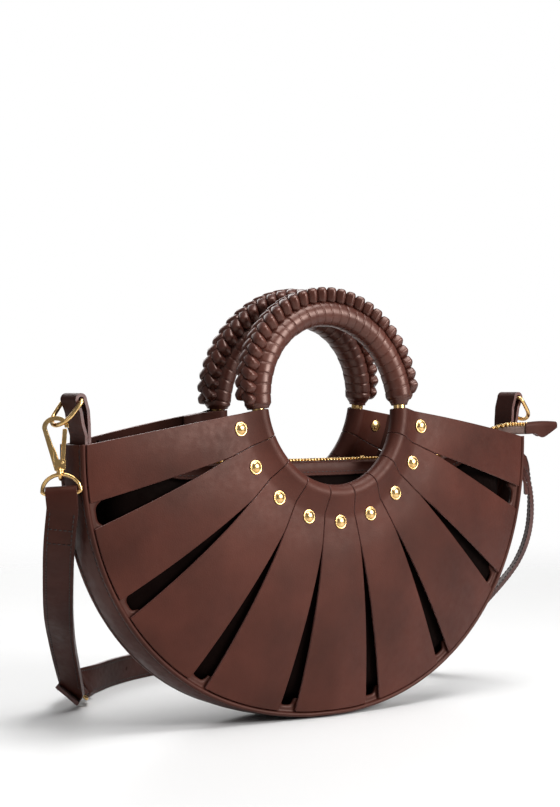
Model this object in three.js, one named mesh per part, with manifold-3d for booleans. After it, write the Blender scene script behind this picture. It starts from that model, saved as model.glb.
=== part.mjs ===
// A half-moon leather handbag: radial strips folded round two ring handles, an inner
// zip pouch, a gusset, and a shoulder strap on snap hooks. Millimetres, +Z up, the
// front panel faces -Y, and the origin is on the floor below the middle of the gusset.
import * as THREE from 'three';
import { mergeVertices } from 'three/addons/utils/BufferGeometryUtils.js';
import Module from 'manifold-3d';

const wasm = await Module();
wasm.setup();

// Outline of the bag, a half superellipse below its two top corners
const BAG_HALF_WIDTH = 172.3;
const CORNER_HEIGHT = 170.4;
const SEAM_RISE = 4.4;
const OUTLINE_POWER = 2.2;
const REST_HALF_LENGTH = 14;
const END_HALF_DEPTH = 11.6;
const BASE_HALF_DEPTH = 23;
const DEPTH_POWER = 2.2;

// Ring handles
const RING_RADIUS = 56.3;
const RING_WIRE_RADIUS = 3.75;
const RING_HALF_SPREAD = 20.5;
const RING_RISE = 22.6;
const RING_LEAN = 6.4;
const WRAP_RADIUS = 7.6;
const WRAP_END_RADIUS = 5.2;
const WRAP_START = 0.6;
const WRAP_TAPER = 9;
const SPINE_PROUD = 4.5;
const SPINE_CROWN = 3.5;
const SPINE_START = 9;

// Leather
const STRIP_THICKNESS = 1.6;
const GUSSET_THICKNESS = 2;
const POUCH_THICKNESS = 1.5;
const STRAP_THICKNESS = 2.4;
const STRAP_WIDTH = 18;
const LOOP_THICKNESS = 2;
const LOOP_WIDTH = 16.4;
const GAP = 0.3;

// Strips and their rivets
const STRIP_PITCH = 19.54;
const RIVET_CIRCLE = 73.1;
const FLAT_START = 68;
const FLAT_END = 84;
const FLAP_END = 82;
const TOP_EDGE_DROP = 3.4;
const SLIT_START_SHARE = 0.05;
const SLIT_POWER = 0.9;
const PANEL_CURVE = 1.6;
const FLANGE_DEPTH = 8;
const RIVET_HEAD_RADIUS = 4.4;
const RIVET_HEAD_HEIGHT = 2.2;
const RIVET_SHANK_RADIUS = 1.6;
const RIVET_CAP_RADIUS = 3;
const RIVET_CAP_HEIGHT = 0.9;

// Zip, pouch and tab
const ZIP_HEIGHT = 156;
const ZIP_RISE = 18.6;
const ZIP_LEVEL_HALF = 100;
const ZIP_CLIMB = 65;
const ZIP_TAPE = 12;
const ZIP_THICKNESS = 2;
const ZIP_OVERHANG = 10;
const ZIP_END_HEIGHT = 6.2;
const ZIP_END_THICKNESS = 1.9;
const TAB_LENGTH = 26;
const TAB_THICKNESS = 2.4;
const POUCH_HALF_LENGTH = 146;
const POUCH_MOUTH = 6;
const POUCH_SHOULDER = 26;

// Hardware
const WIRE = 1.3;
const D_HALF_WIDTH = 9.8;
const D_DEPTH = 18.8;
const D_SWING = 12;
const LOOP_RISE = 25.6;
const LOOP_SHIFT = 1.2;
const LOOP_ROOT = 18;
const HOOK_THICKNESS = 3.2;
const HOOK_BOW = 4.1;
const HOOK_PLAY = 1.4;
const HOOK_LIMB = 2.2;
const HOOK_LENGTH = 24.6;
const EYE_RADIUS = 3;
const EYE_WIRE = 1.1;
const GATE_THICKNESS = 1.4;
const GATE_HALF_WIDTH = 1.3;
const PIN_RADIUS = 0.7;
const STRAP_WIRE = 1.2;
const STRAP_RING_HALF_WIDTH = 10.9;
const STRAP_RING_DEPTH = 10.8;
const STRAP_TAIL = 24;
const BUCKLE_HALF_WIDTH = 10.9;
const BUCKLE_HALF_LENGTH = 7.5;
const PRONG_RADIUS = 1;

// Seams between the strips, from the top edge down to the middle: the angle below the
// horizontal where each meets the border, and how wide its slit is there
const SEAMS = [
  { border: 7.5, slit: 0 },
  { border: 20.3, slit: 14.5 },
  { border: 38.45, slit: 12 },
  { border: 59.05, slit: 12.5 },
  { border: 79.6, slit: 12 },
];

// The strap's route: each place as shares of the half width (X and Y) and of the corner
// height (Z), and the direction of its width
const STRAP_SHORT_ROUTE = [
  { at: [-1.0517, 0.0186, 0.6690], width: [0.789, -0.614, 0] },
  { at: [-0.9658, 0.1642, 0.5164], width: [0.789, -0.614, -0.06] },
  { at: [-0.8648, 0.3221, 0.3756], width: [0.76, -0.6, -0.2] },
  { at: [-0.7603, 0.4643, 0.2523], width: [0.72, -0.52, -0.46] },
];
const BUCKLE_CENTRE = [-0.5862, 0.6703, 0.0657];
const BUCKLE_WIDTH = [0.604, -0.47, -0.645];
const BUCKLE_ALONG = [0.529, 0.841, -0.117];
const STRAP_LONG_ROUTE = [
  { at: [-0.3598, 0.8793, 0.0558], width: [0.05, -0.05, -1] },
  { at: [-0.1509, 1.0255, 0.0546], width: [0, 0, -1] },
  { at: [0.1393, 1.1492, 0.0546], width: [0, 0, -1] },
  { at: [0.3831, 1.1782, 0.0540], width: [0, -0.1, -1] },
  { at: [0.6152, 1.1143, 0.0493], width: [-0.12, -0.5, -0.85] },
  { at: [0.7893, 0.9634, 0.0352], width: [-0.4, -0.75, -0.5] },
  { at: [0.8938, 0.7777, 0.0211], width: [-0.7, -0.7, -0.14] },
  { at: [0.9634, 0.5920, 0.0469], width: [-0.8, -0.6, 0] },
  { at: [1.0215, 0.4411, 0.1232], width: [-0.72, -0.7, 0] },
  { at: [1.0737, 0.3192, 0.2347], width: [-0.65, -0.76, 0] },
  { at: [1.1277, 0.2089, 0.3662], width: [-0.614, -0.789, 0] },
  { at: [1.1666, 0.1277, 0.4812], width: [-0.614, -0.789, 0] },
  { at: [1.1782, 0.0754, 0.5986], width: [-0.614, -0.789, -0.05] },
  { at: [1.1753, 0.0551, 0.7277], width: [-0.6, -0.75, -0.2] },
  { at: [1.1666, 0.0667, 0.8451], width: [-0.65, -0.68, -0.3] },
];
const LEFT_HOOK_DOWN = [0, -0.1, -1];
const RIGHT_HOOK_TURN = 55;
const RIGHT_HOOK_DOWN = [0.05, 0.62, -0.78];
const RIGHT_HOOK_ACROSS = [0.75, 0.6, 0.28];
const RIGHT_RING_DOWN = [0.85, -0.35, -0.39];

// Values worked out from the sizes above
const RAD = Math.PI / 180;
const OUTLINE_DEPTH = CORNER_HEIGHT - SEAM_RISE;
const RING_CENTRE = new THREE.Vector3(0, -RING_HALF_SPREAD, CORNER_HEIGHT + RING_RISE);
const RING_ACROSS = new THREE.Vector3(1, 0, 0);
const RING_UP = new THREE.Vector3(0, Math.sin(RING_LEAN * RAD), Math.cos(RING_LEAN * RAD));
const RING_OUT = new THREE.Vector3().crossVectors(RING_ACROSS, RING_UP);
const HOOK_SEAT = HOOK_BOW - WIRE - HOOK_PLAY;
const LAYER = STRIP_THICKNESS / 2 + GAP / 2;
const FOLD_RADIUS = RING_WIRE_RADIUS + 3 * GAP + STRIP_THICKNESS / 2;
const FLANGE_SET_BACK = (STRIP_THICKNESS + GUSSET_THICKNESS) / 2 + GAP;

const COLOURS = {
  leather: new THREE.MeshStandardMaterial({ color: 0x4a231b, roughness: 0.45 }),
  inner: new THREE.MeshStandardMaterial({ color: 0x2a1512, roughness: 0.6 }),
  metal: new THREE.MeshStandardMaterial({ color: 0xd9b06a, roughness: 0.25, metalness: 1 }),
  tape: new THREE.MeshStandardMaterial({ color: 0x5a3220, roughness: 0.7 }),
};

// Small helpers

function vec(x, y, z) {
  return new THREE.Vector3(x, y, z);
}

function lerp(a, b, t) {
  return a + (b - a) * t;
}

function smooth(t) {
  const s = Math.min(Math.max(t, 0), 1);
  return s * s * (3 - 2 * s);
}

function signedVolume(points, faces) {
  const cross = new THREE.Vector3();
  let total = 0;
  for (const [a, b, c] of faces) {
    cross.crossVectors(points[b], points[c]);
    total += points[a].dot(cross);
  }
  return total / 6;
}

// A closed body from its corners and triangles, turned so that its faces point out
function body(points, faces) {
  const flip = signedVolume(points, faces) < 0;
  const geometry = new THREE.BufferGeometry();
  const numbers = points.flatMap((p) => [p.x, p.y, p.z]);
  geometry.setAttribute('position', new THREE.Float32BufferAttribute(numbers, 3));
  geometry.setIndex(faces.flatMap(([a, b, c]) => (flip ? [a, c, b] : [a, b, c])));
  return geometry;
}

// Two triangles for the quad of four corner numbers
function quad(faces, a, b, c, d) {
  faces.push([a, b, c], [a, c, d]);
}

// A sheet of even thickness on a grid of points, rows along it and columns across
function sheet(rows, thickness) {
  const last = rows.length - 1;
  const side = rows[0].length;
  const points = [];
  for (const turn of [1, -1]) {
    for (let i = 0; i <= last; i += 1) {
      for (let j = 0; j < side; j += 1) {
        const along = rows[Math.min(i + 1, last)][j].clone().sub(rows[Math.max(i - 1, 0)][j]);
        const across = rows[i][Math.min(j + 1, side - 1)].clone().sub(rows[i][Math.max(j - 1, 0)]);
        const normal = along.cross(across).normalize();
        points.push(rows[i][j].clone().addScaledVector(normal, (turn * thickness) / 2));
      }
    }
  }
  const under = rows.length * side;
  const at = (i, j) => i * side + j;
  const faces = [];
  for (let i = 0; i < last; i += 1) {
    for (let j = 0; j < side - 1; j += 1) {
      quad(faces, at(i, j), at(i + 1, j), at(i + 1, j + 1), at(i, j + 1));
      quad(faces, under + at(i, j), under + at(i, j + 1), under + at(i + 1, j + 1), under + at(i + 1, j));
    }
    quad(faces, at(i, 0), under + at(i, 0), under + at(i + 1, 0), at(i + 1, 0));
    quad(faces, at(i, side - 1), at(i + 1, side - 1), under + at(i + 1, side - 1), under + at(i, side - 1));
  }
  for (let j = 0; j < side - 1; j += 1) {
    quad(faces, at(0, j), at(0, j + 1), under + at(0, j + 1), under + at(0, j));
    quad(faces, at(last, j), under + at(last, j), under + at(last, j + 1), at(last, j + 1));
  }
  return body(points, faces);
}

// A bar through sections with the same even number of corners, whose two halves mirror
// each other, so that each end is closed by the bands between them
function loft(sections) {
  const count = sections[0].length;
  const points = sections.flat();
  const faces = [];
  for (let i = 0; i < sections.length - 1; i += 1) {
    for (let j = 0; j < count; j += 1) {
      const next = (j + 1) % count;
      quad(faces, i * count + j, i * count + next, (i + 1) * count + next, (i + 1) * count + j);
    }
  }
  const end = (sections.length - 1) * count;
  for (let j = 0; j < count / 2 - 1; j += 1) {
    quad(faces, j, count - 1 - j, count - 2 - j, j + 1);
    quad(faces, end + j, end + j + 1, end + count - 2 - j, end + count - 1 - j);
  }
  return body(points, faces);
}

// A tube with a bore through it, from stations that hold an outer and an inner loop
function sleeve(stations) {
  const count = stations[0].outer.length;
  const points = stations.flatMap((s) => [...s.outer, ...s.inner]);
  const outer = (i, j) => i * 2 * count + (j % count);
  const inner = (i, j) => outer(i, j) + count;
  const last = stations.length - 1;
  const faces = [];
  for (let j = 0; j < count; j += 1) {
    for (let i = 0; i < last; i += 1) {
      quad(faces, outer(i, j), outer(i, j + 1), outer(i + 1, j + 1), outer(i + 1, j));
      quad(faces, inner(i, j), inner(i + 1, j), inner(i + 1, j + 1), inner(i, j + 1));
    }
    quad(faces, outer(0, j), inner(0, j), inner(0, j + 1), outer(0, j + 1));
    quad(faces, outer(last, j), outer(last, j + 1), inner(last, j + 1), inner(last, j));
  }
  return body(points, faces);
}

function toSolid(geometry) {
  const bare = geometry.clone();
  for (const name of Object.keys(bare.attributes)) {
    if (name !== 'position') {
      bare.deleteAttribute(name);
    }
  }
  const merged = mergeVertices(bare, 1e-4);
  return new wasm.Manifold(new wasm.Mesh({
    numProp: 3,
    vertProperties: new Float32Array(merged.attributes.position.array),
    triVerts: new Uint32Array(merged.index.array),
  }));
}

function fromSolid(solid) {
  const mesh = solid.getMesh();
  const geometry = new THREE.BufferGeometry();
  geometry.setAttribute('position', new THREE.BufferAttribute(mesh.vertProperties.slice(), 3));
  geometry.setIndex(new THREE.BufferAttribute(mesh.triVerts.slice(), 1));
  return geometry;
}

// The same piece on the other side of the bag, front to back
function toBack(geometry) {
  const copy = geometry.clone();
  copy.scale(1, -1, 1);
  const index = copy.index.array;
  for (let i = 0; i < index.length; i += 3) {
    [index[i + 1], index[i + 2]] = [index[i + 2], index[i + 1]];
  }
  return copy;
}

const bag = new THREE.Group();

function add(name, geometry, material) {
  const mesh = new THREE.Mesh(geometry, material);
  mesh.name = name;
  bag.add(mesh);
  return mesh;
}

// The outline and the two panels

// Height of the seam line at a distance from the bag's middle, level where it rests
function outlineHeight(x) {
  const lift = (at) => {
    const share = Math.min(Math.abs(at) / BAG_HALF_WIDTH, 1);
    return OUTLINE_DEPTH * (1 - (1 - share ** OUTLINE_POWER) ** (1 / OUTLINE_POWER));
  };
  const level = lift(REST_HALF_LENGTH);
  const scale = OUTLINE_DEPTH / (OUTLINE_DEPTH - level);
  return SEAM_RISE + Math.max(lift(x) - level, 0) * scale;
}

// A point of the front seam at a distance from the middle
function seamPoint(x) {
  const height = outlineHeight(x);
  const angle = Math.atan2(RING_CENTRE.z - height, Math.abs(x)) / RAD;
  const corner = Math.atan2(RING_RISE, BAG_HALF_WIDTH) / RAD;
  const share = Math.max(angle - corner, 0) / (90 - corner);
  return vec(x, -lerp(END_HALF_DEPTH, BASE_HALF_DEPTH, share ** DEPTH_POWER), height);
}

// The point at a radius and an angle in the front ring's plane, and a distance out of it
function ringPoint(radius, angle, out) {
  return RING_CENTRE.clone()
    .addScaledVector(RING_ACROSS, radius * Math.cos(angle * RAD))
    .addScaledVector(RING_UP, radius * Math.sin(angle * RAD))
    .addScaledVector(RING_OUT, out);
}

function ringCoordinates(point) {
  const arm = point.clone().sub(RING_CENTRE);
  const across = arm.dot(RING_ACROSS);
  const up = arm.dot(RING_UP);
  return { radius: Math.hypot(across, up), angle: Math.atan2(up, across) / RAD, out: arm.dot(RING_OUT) };
}

const CORNER = ringCoordinates(seamPoint(BAG_HALF_WIDTH));
const CORNER_DROP = -CORNER.radius * Math.sin(CORNER.angle * RAD);
const TOP_EDGE_SLOPE = (CORNER_DROP - TOP_EDGE_DROP) / (CORNER.radius - RING_RADIUS);

// The seam's place at an angle in the ring's plane, from -90 in the middle to the corner
function borderAt(angle) {
  const side = angle < -90 ? -1 : 1;
  const wanted = angle < -90 ? -180 - angle : angle;
  let low = 0;
  let high = BAG_HALF_WIDTH;
  for (let step = 0; step < 50; step += 1) {
    const middle = (low + high) / 2;
    if (ringCoordinates(seamPoint(middle)).angle < wanted) {
      low = middle;
    } else {
      high = middle;
    }
  }
  return seamPoint((side * (low + high)) / 2);
}

function fromBothEnds(index) {
  return Math.min(index, 9 - index);
}

// Where seam line number 0 to 9 lies at a share of the way from the rivets to the
// border, moved to one side by half of its slit
function seamAngle(index, side, radius, share) {
  const turn = index < 5 ? 1 : -1;
  const level = index < 5 ? -180 : 0;
  if (fromBothEnds(index) === 0) {
    const drop = TOP_EDGE_DROP + TOP_EDGE_SLOPE * Math.max(radius - RING_RADIUS, 0);
    return level + (turn * Math.asin(drop / radius)) / RAD;
  }
  const seam = SEAMS[fromBothEnds(index)];
  const atRing = -90 + (index - 4.5) * STRIP_PITCH;
  const atBorder = level + turn * seam.border;
  const opened = Math.max(share - SLIT_START_SHARE, 0) / (1 - SLIT_START_SHARE);
  const half = (GAP + seam.slit * opened ** SLIT_POWER) / 2;
  return lerp(atRing, atBorder, share) + (side * half) / radius / RAD;
}

// How far the panel stands out of the ring's plane at a share of the way to the border
function panelOut(share, borderOut) {
  return lerp(LAYER, borderOut, Math.max(share, 0) ** PANEL_CURVE);
}

function panelPoint(strip, across, share) {
  const rough = CORNER.radius;
  const borderAngle = lerp(seamAngle(strip, 1, rough, 1), seamAngle(strip + 1, -1, rough, 1), across);
  const limit = Math.min(Math.max(borderAngle, -180 - CORNER.angle), CORNER.angle);
  const border = ringCoordinates(borderAt(limit));
  const radius = lerp(FLAT_END, border.radius, share);
  const left = seamAngle(strip, 1, radius, share);
  const right = seamAngle(strip + 1, -1, radius, share);
  return ringPoint(radius, lerp(left, right, across), panelOut(share, border.out));
}

const STRIP_COLUMNS = [0, 0.5, 1];
const PANEL_SHARES = [0.25, 0.5, 0.75, 1];
const FOLD_STEPS = 5;
const RIVET_SIDES = 8;

// A strip from the end of its flap, round the ring, and down the panel to the border
function stripGeometry(strip) {
  const reach = FLAT_START - RING_RADIUS;
  const tangent = Math.acos(FOLD_RADIUS / Math.hypot(reach, LAYER)) + Math.atan2(LAYER, reach);
  const path = [[FLAP_END, -LAYER], [FLAT_START, -LAYER]];
  for (let step = 0; step <= FOLD_STEPS; step += 1) {
    const turn = -tangent - ((2 * Math.PI - 2 * tangent) * step) / FOLD_STEPS;
    path.push([RING_RADIUS + FOLD_RADIUS * Math.cos(turn), FOLD_RADIUS * Math.sin(turn)]);
  }
  path.push([FLAT_START, LAYER], [FLAT_END, LAYER]);
  const rows = path.map(([radius, out]) => STRIP_COLUMNS.map((across) => {
    const left = seamAngle(strip, 1, radius, 0);
    const right = seamAngle(strip + 1, -1, radius, 0);
    return ringPoint(radius, lerp(left, right, across), out);
  }));
  for (const share of PANEL_SHARES) {
    rows.push(STRIP_COLUMNS.map((across) => panelPoint(strip, across, share)));
  }
  return sheet(rows, STRIP_THICKNESS);
}

// A frame whose Y axis points out of the ring's plane at a strip's rivet
function rivetFrame(strip) {
  const centre = ringPoint(RIVET_CIRCLE, -90 + (strip - 4) * STRIP_PITCH, 0);
  const across = new THREE.Vector3().crossVectors(RING_OUT, RING_UP).normalize();
  return new THREE.Matrix4().makeBasis(across, RING_OUT, across.clone().cross(RING_OUT)).setPosition(centre);
}

function rivetGeometry(strip) {
  const face = LAYER + STRIP_THICKNESS / 2 + GAP;
  const profile = [
    [0, -face - RIVET_CAP_HEIGHT],
    [RIVET_CAP_RADIUS, -face - RIVET_CAP_HEIGHT],
    [RIVET_CAP_RADIUS, -face],
    [RIVET_SHANK_RADIUS, -face],
    [RIVET_SHANK_RADIUS, face],
    [RIVET_HEAD_RADIUS, face],
    [RIVET_HEAD_RADIUS * 0.7, face + RIVET_HEAD_HEIGHT * 0.75],
    [0, face + RIVET_HEAD_HEIGHT],
  ].map(([x, y]) => new THREE.Vector2(x, y));
  return new THREE.LatheGeometry(profile, RIVET_SIDES).applyMatrix4(rivetFrame(strip));
}

function buildPanels() {
  for (let strip = 0; strip < 9; strip += 1) {
    const bore = RIVET_SHANK_RADIUS + GAP;
    const hole = new THREE.CylinderGeometry(bore, bore, 12, RIVET_SIDES);
    hole.applyMatrix4(rivetFrame(strip));
    const cut = fromSolid(toSolid(stripGeometry(strip)).subtract(toSolid(hole)));
    const rivet = fromSolid(toSolid(rivetGeometry(strip)));
    add(`front_strip_${strip + 1}`, cut, COLOURS.leather);
    add(`back_strip_${strip + 1}`, toBack(cut), COLOURS.leather);
    add(`front_rivet_${strip + 1}`, rivet, COLOURS.metal);
    add(`back_rivet_${strip + 1}`, toBack(rivet), COLOURS.metal);
  }
}

// The rings and the wraps on their upper halves

const RING_STEP = 12;
const RING_SIDES = 6;
const WRAP_SIDES = 12;

function ringLoop(angle, sides, size) {
  const loop = [];
  for (let side = 0; side < sides; side += 1) {
    const turn = (side / sides) * 2 * Math.PI;
    const reach = size(turn);
    loop.push(ringPoint(RING_RADIUS + reach * Math.cos(turn), angle, reach * Math.sin(turn)));
  }
  return loop;
}

function ringGeometry() {
  const ring = new THREE.TorusGeometry(RING_RADIUS, RING_WIRE_RADIUS, RING_SIDES, 360 / RING_STEP);
  const frame = new THREE.Matrix4().makeBasis(RING_ACROSS, RING_UP, RING_OUT).setPosition(RING_CENTRE);
  return fromSolid(toSolid(ring.applyMatrix4(frame)));
}

// The wound lace with its plaited spine, which stands proud on the ring's outer side
function wrapGeometry() {
  const angles = [WRAP_START];
  for (let angle = RING_STEP; angle < 180; angle += RING_STEP) {
    angles.push(angle);
  }
  angles.push(180 - WRAP_START);
  const stations = angles.map((angle) => {
    const fromEnd = Math.min(angle, 180 - angle);
    const radius = lerp(WRAP_END_RADIUS, WRAP_RADIUS, smooth((fromEnd - WRAP_START) / WRAP_TAPER));
    const crown = SPINE_PROUD + SPINE_CROWN * Math.sin(angle * RAD);
    const proud = crown * smooth((fromEnd - SPINE_START / 2) / SPINE_START);
    const outside = (turn) => {
      const off = Math.abs(Math.atan2(Math.sin(turn), Math.cos(turn))) / RAD;
      return radius + proud * smooth((72 - off) / 40);
    };
    return {
      outer: ringLoop(angle, WRAP_SIDES, outside),
      inner: ringLoop(angle, WRAP_SIDES, () => RING_WIRE_RADIUS + GAP),
    };
  });
  return sleeve(stations);
}

function buildHandles() {
  const ring = ringGeometry();
  const wrap = wrapGeometry();
  add('front_ring', ring, COLOURS.metal);
  add('back_ring', toBack(ring), COLOURS.metal);
  add('front_handle_wrap', wrap, COLOURS.leather);
  add('back_handle_wrap', toBack(wrap), COLOURS.leather);
}

// The gusset, a band with a flange on each side behind the ends of the strips

const GUSSET_STEPS = 31;
const GUSSET_PROFILE = [
  { depth: -0.8, bulge: 0.62 },
  { depth: -0.4, bulge: 1 },
  { depth: 0.4, bulge: 1 },
  { depth: 0.8, bulge: 0.62 },
];

function gussetGeometry() {
  const rows = [];
  for (let step = 0; step <= GUSSET_STEPS; step += 1) {
    const angle = lerp(-180 - CORNER.angle, CORNER.angle, step / GUSSET_STEPS);
    const edge = borderAt(angle);
    const border = ringCoordinates(edge);
    const share = 1 - FLANGE_DEPTH / (border.radius - FLAT_END);
    const inside = ringPoint(border.radius - FLANGE_DEPTH, border.angle, panelOut(share, border.out));
    const inward = inside.clone().sub(edge).normalize();
    const back = RING_OUT.clone().addScaledVector(inward, -RING_OUT.dot(inward)).normalize();
    inside.addScaledVector(back, -FLANGE_SET_BACK);
    const seam = edge.clone().addScaledVector(back, -FLANGE_SET_BACK);
    const ahead = borderAt(Math.min(angle + 0.5, CORNER.angle));
    const behind = borderAt(Math.max(angle - 0.5, -180 - CORNER.angle));
    const run = ahead.sub(behind);
    const outward = vec(run.z, 0, -run.x).normalize();
    const bulge = SEAM_RISE - GUSSET_THICKNESS / 2;
    const web = GUSSET_PROFILE.map((row) => vec(edge.x, row.depth * Math.abs(seam.y), edge.z)
      .addScaledVector(outward, row.bulge * bulge));
    const far = [seam, inside].map((p) => vec(p.x, -p.y, p.z));
    rows.push([inside, seam, ...web, ...far]);
  }
  const band = sheet(rows, GUSSET_THICKNESS);
  band.computeBoundingBox();
  return band.translate(0, 0, -band.boundingBox.min.z);
}

// The inner pouch, open at the top, and the zip over its mouth

function zipHeight(x) {
  return ZIP_HEIGHT + ZIP_RISE * smooth((Math.abs(x) - ZIP_LEVEL_HALF) / ZIP_CLIMB);
}

// Half of the room between the panels at a place, less the flaps and rivets there
function roomAt(x, height) {
  const flat = ringCoordinates(vec(x, RING_CENTRE.y, height));
  const angle = Math.min(Math.max(flat.angle, -180 - CORNER.angle), CORNER.angle);
  const border = ringCoordinates(borderAt(angle));
  const share = Math.min(Math.max((flat.radius - FLAT_END) / (border.radius - FLAT_END), 0), 1);
  const panel = -ringPoint(flat.radius, flat.angle, panelOut(share, border.out)).y;
  const flap = 2 * LAYER + STRIP_THICKNESS / 2 + RIVET_CAP_HEIGHT + 2 * GAP;
  const flange = FLANGE_SET_BACK + GUSSET_THICKNESS / 2 + GAP;
  return panel - lerp(flap + 1, flange + GAP, smooth((flat.radius - FLAT_END) / 12));
}

const POUCH_SECTIONS = 12;
const POUCH_LEVELS = [
  { share: 0, fullness: 0.5 },
  { share: 0.07, fullness: 0.9 },
  { share: 0.3, fullness: 1 },
  { share: 0.55, fullness: 1 },
  { share: 0.78, fullness: 1 },
  { share: 0.9, fullness: 1 },
  { share: 1, fullness: 1 },
];

function pouchSolid(inset, extra) {
  const length = POUCH_HALF_LENGTH - inset;
  const sections = [];
  for (let step = 0; step <= POUCH_SECTIONS; step += 1) {
    const x = lerp(-length, length, step / POUCH_SECTIONS);
    const slope = outlineHeight(x + 0.5) - outlineHeight(x - 0.5);
    const floor = outlineHeight(x) + (GAP + inset) * Math.hypot(1, slope);
    const rim = zipHeight(x) - ZIP_THICKNESS / 2 - GAP;
    const front = POUCH_LEVELS.map((level) => {
      const height = lerp(floor, rim, level.share);
      const room = roomAt(x, height) * level.fullness;
      const half = lerp(POUCH_MOUTH, Math.max(room, POUCH_MOUTH), smooth((rim - height) / POUCH_SHOULDER));
      const lift = level.share === 1 ? extra : 0;
      return vec(x, inset - half, height + lift);
    });
    const back = front.map((p) => vec(p.x, -p.y, p.z)).reverse();
    sections.push([...front, ...back]);
  }
  return toSolid(loft(sections));
}

function zipGeometry() {
  const end = BAG_HALF_WIDTH + ZIP_OVERHANG;
  const turnStart = POUCH_HALF_LENGTH + 2;
  const turnEnd = BAG_HALF_WIDTH - 9;
  const stops = [];
  for (let step = 0; step <= 14; step += 1) {
    stops.push(lerp(-POUCH_HALF_LENGTH, POUCH_HALF_LENGTH, step / 14));
  }
  for (let step = 0; step <= 4; step += 1) {
    stops.push(lerp(turnStart, turnEnd, step / 4));
  }
  stops.push(BAG_HALF_WIDTH, end);
  return loft(stops.map((x) => {
    const turned = smooth((x - turnStart) / (turnEnd - turnStart));
    const side = END_HALF_DEPTH - STRIP_THICKNESS / 2 - GAP - ZIP_END_THICKNESS / 2;
    const centre = vec(x, -side * turned, zipHeight(x));
    const halfY = lerp(ZIP_TAPE, ZIP_END_THICKNESS, turned) / 2;
    const halfZ = lerp(ZIP_THICKNESS, ZIP_END_HEIGHT, turned) / 2;
    const corners = [[-1, -1], [1, -1], [1, 1], [-1, 1]];
    return corners.map(([y, z]) => centre.clone().add(vec(0, y * halfY, z * halfZ)));
  }));
}

// The slider near the closed end, with its pull lying flat
function sliderGeometry() {
  const shape = new THREE.Shape();
  shape.moveTo(-5, -3.5);
  shape.lineTo(4, -4);
  shape.lineTo(7, -1.6);
  shape.lineTo(22, -2.2);
  shape.absarc(22, 0, 2.2, -Math.PI / 2, Math.PI / 2, false);
  shape.lineTo(7, 1.6);
  shape.lineTo(4, 4);
  shape.lineTo(-5, 3.5);
  const slab = new THREE.ExtrudeGeometry(shape, { depth: 2, bevelEnabled: false, curveSegments: 5 });
  const x = -ZIP_LEVEL_HALF + 4;
  return slab.translate(x, 0, zipHeight(x) + ZIP_THICKNESS / 2 + GAP);
}

function tabGeometry() {
  const start = BAG_HALF_WIDTH + ZIP_OVERHANG + GAP;
  const side = END_HALF_DEPTH - STRIP_THICKNESS / 2 - GAP - ZIP_END_THICKNESS / 2;
  const level = zipHeight(start);
  const half = ZIP_END_HEIGHT / 2;
  const outline = [
    { along: 0, low: -half, high: half },
    { along: 0.35, low: -half - 2.4, high: half + 0.3 },
    { along: 0.68, low: -half, high: half },
    { along: 1, low: 0.2, high: half },
  ];
  const rows = outline.map((row) => {
    const x = start + row.along * TAB_LENGTH;
    return [vec(x, -side, level + row.low), vec(x, -side + 2 * row.along, level + row.high)];
  });
  return sheet(rows, TAB_THICKNESS);
}

function buildInside() {
  add('gusset', gussetGeometry(), COLOURS.leather);
  const shell = pouchSolid(0, 0).subtract(pouchSolid(POUCH_THICKNESS, 10));
  add('pouch', fromSolid(shell), COLOURS.inner);
  add('zip', zipGeometry(), COLOURS.tape);
  add('zip_slider', fromSolid(toSolid(sliderGeometry())), COLOURS.metal);
  add('zip_end_tab', tabGeometry(), COLOURS.leather);
}

// The loops, D-rings, hooks and strap rings at the two top corners

// A closed tube along a ring of points
function closedTube(points, radius, segments, sides) {
  const curve = new THREE.CatmullRomCurve3(points, true, 'centripetal');
  return fromSolid(toSolid(new THREE.TubeGeometry(curve, segments, radius, sides, true)));
}

// Places a point given across, down from and out of a frame
function inFrame(frame, across, along, out) {
  return frame.origin.clone()
    .addScaledVector(frame.across, across)
    .addScaledVector(frame.along, along)
    .addScaledVector(frame.out, out);
}

function makeFrame(origin, across, along) {
  const frame = { origin, along: along.clone().normalize() };
  frame.across = across.clone().addScaledVector(frame.along, -across.dot(frame.along)).normalize();
  frame.out = frame.across.clone().cross(frame.along);
  return frame;
}

// A D with its straight bar through the origin of its frame
function dRingGeometry(frame, halfWidth, depth, radius) {
  const round = 1.2;
  const legs = Math.max(depth - halfWidth, round + 0.2);
  const points = [];
  for (const share of [-0.8, 0, 0.8]) {
    points.push(inFrame(frame, share * halfWidth, 0, 0));
  }
  points.push(inFrame(frame, halfWidth, round, 0));
  for (let step = 0; step <= 8; step += 1) {
    const turn = (step / 8) * Math.PI;
    points.push(inFrame(frame, halfWidth * Math.cos(turn), legs + (depth - legs) * Math.sin(turn), 0));
  }
  points.push(inFrame(frame, -halfWidth, round, 0));
  return closedTube(points, radius, 22, 6);
}

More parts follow.
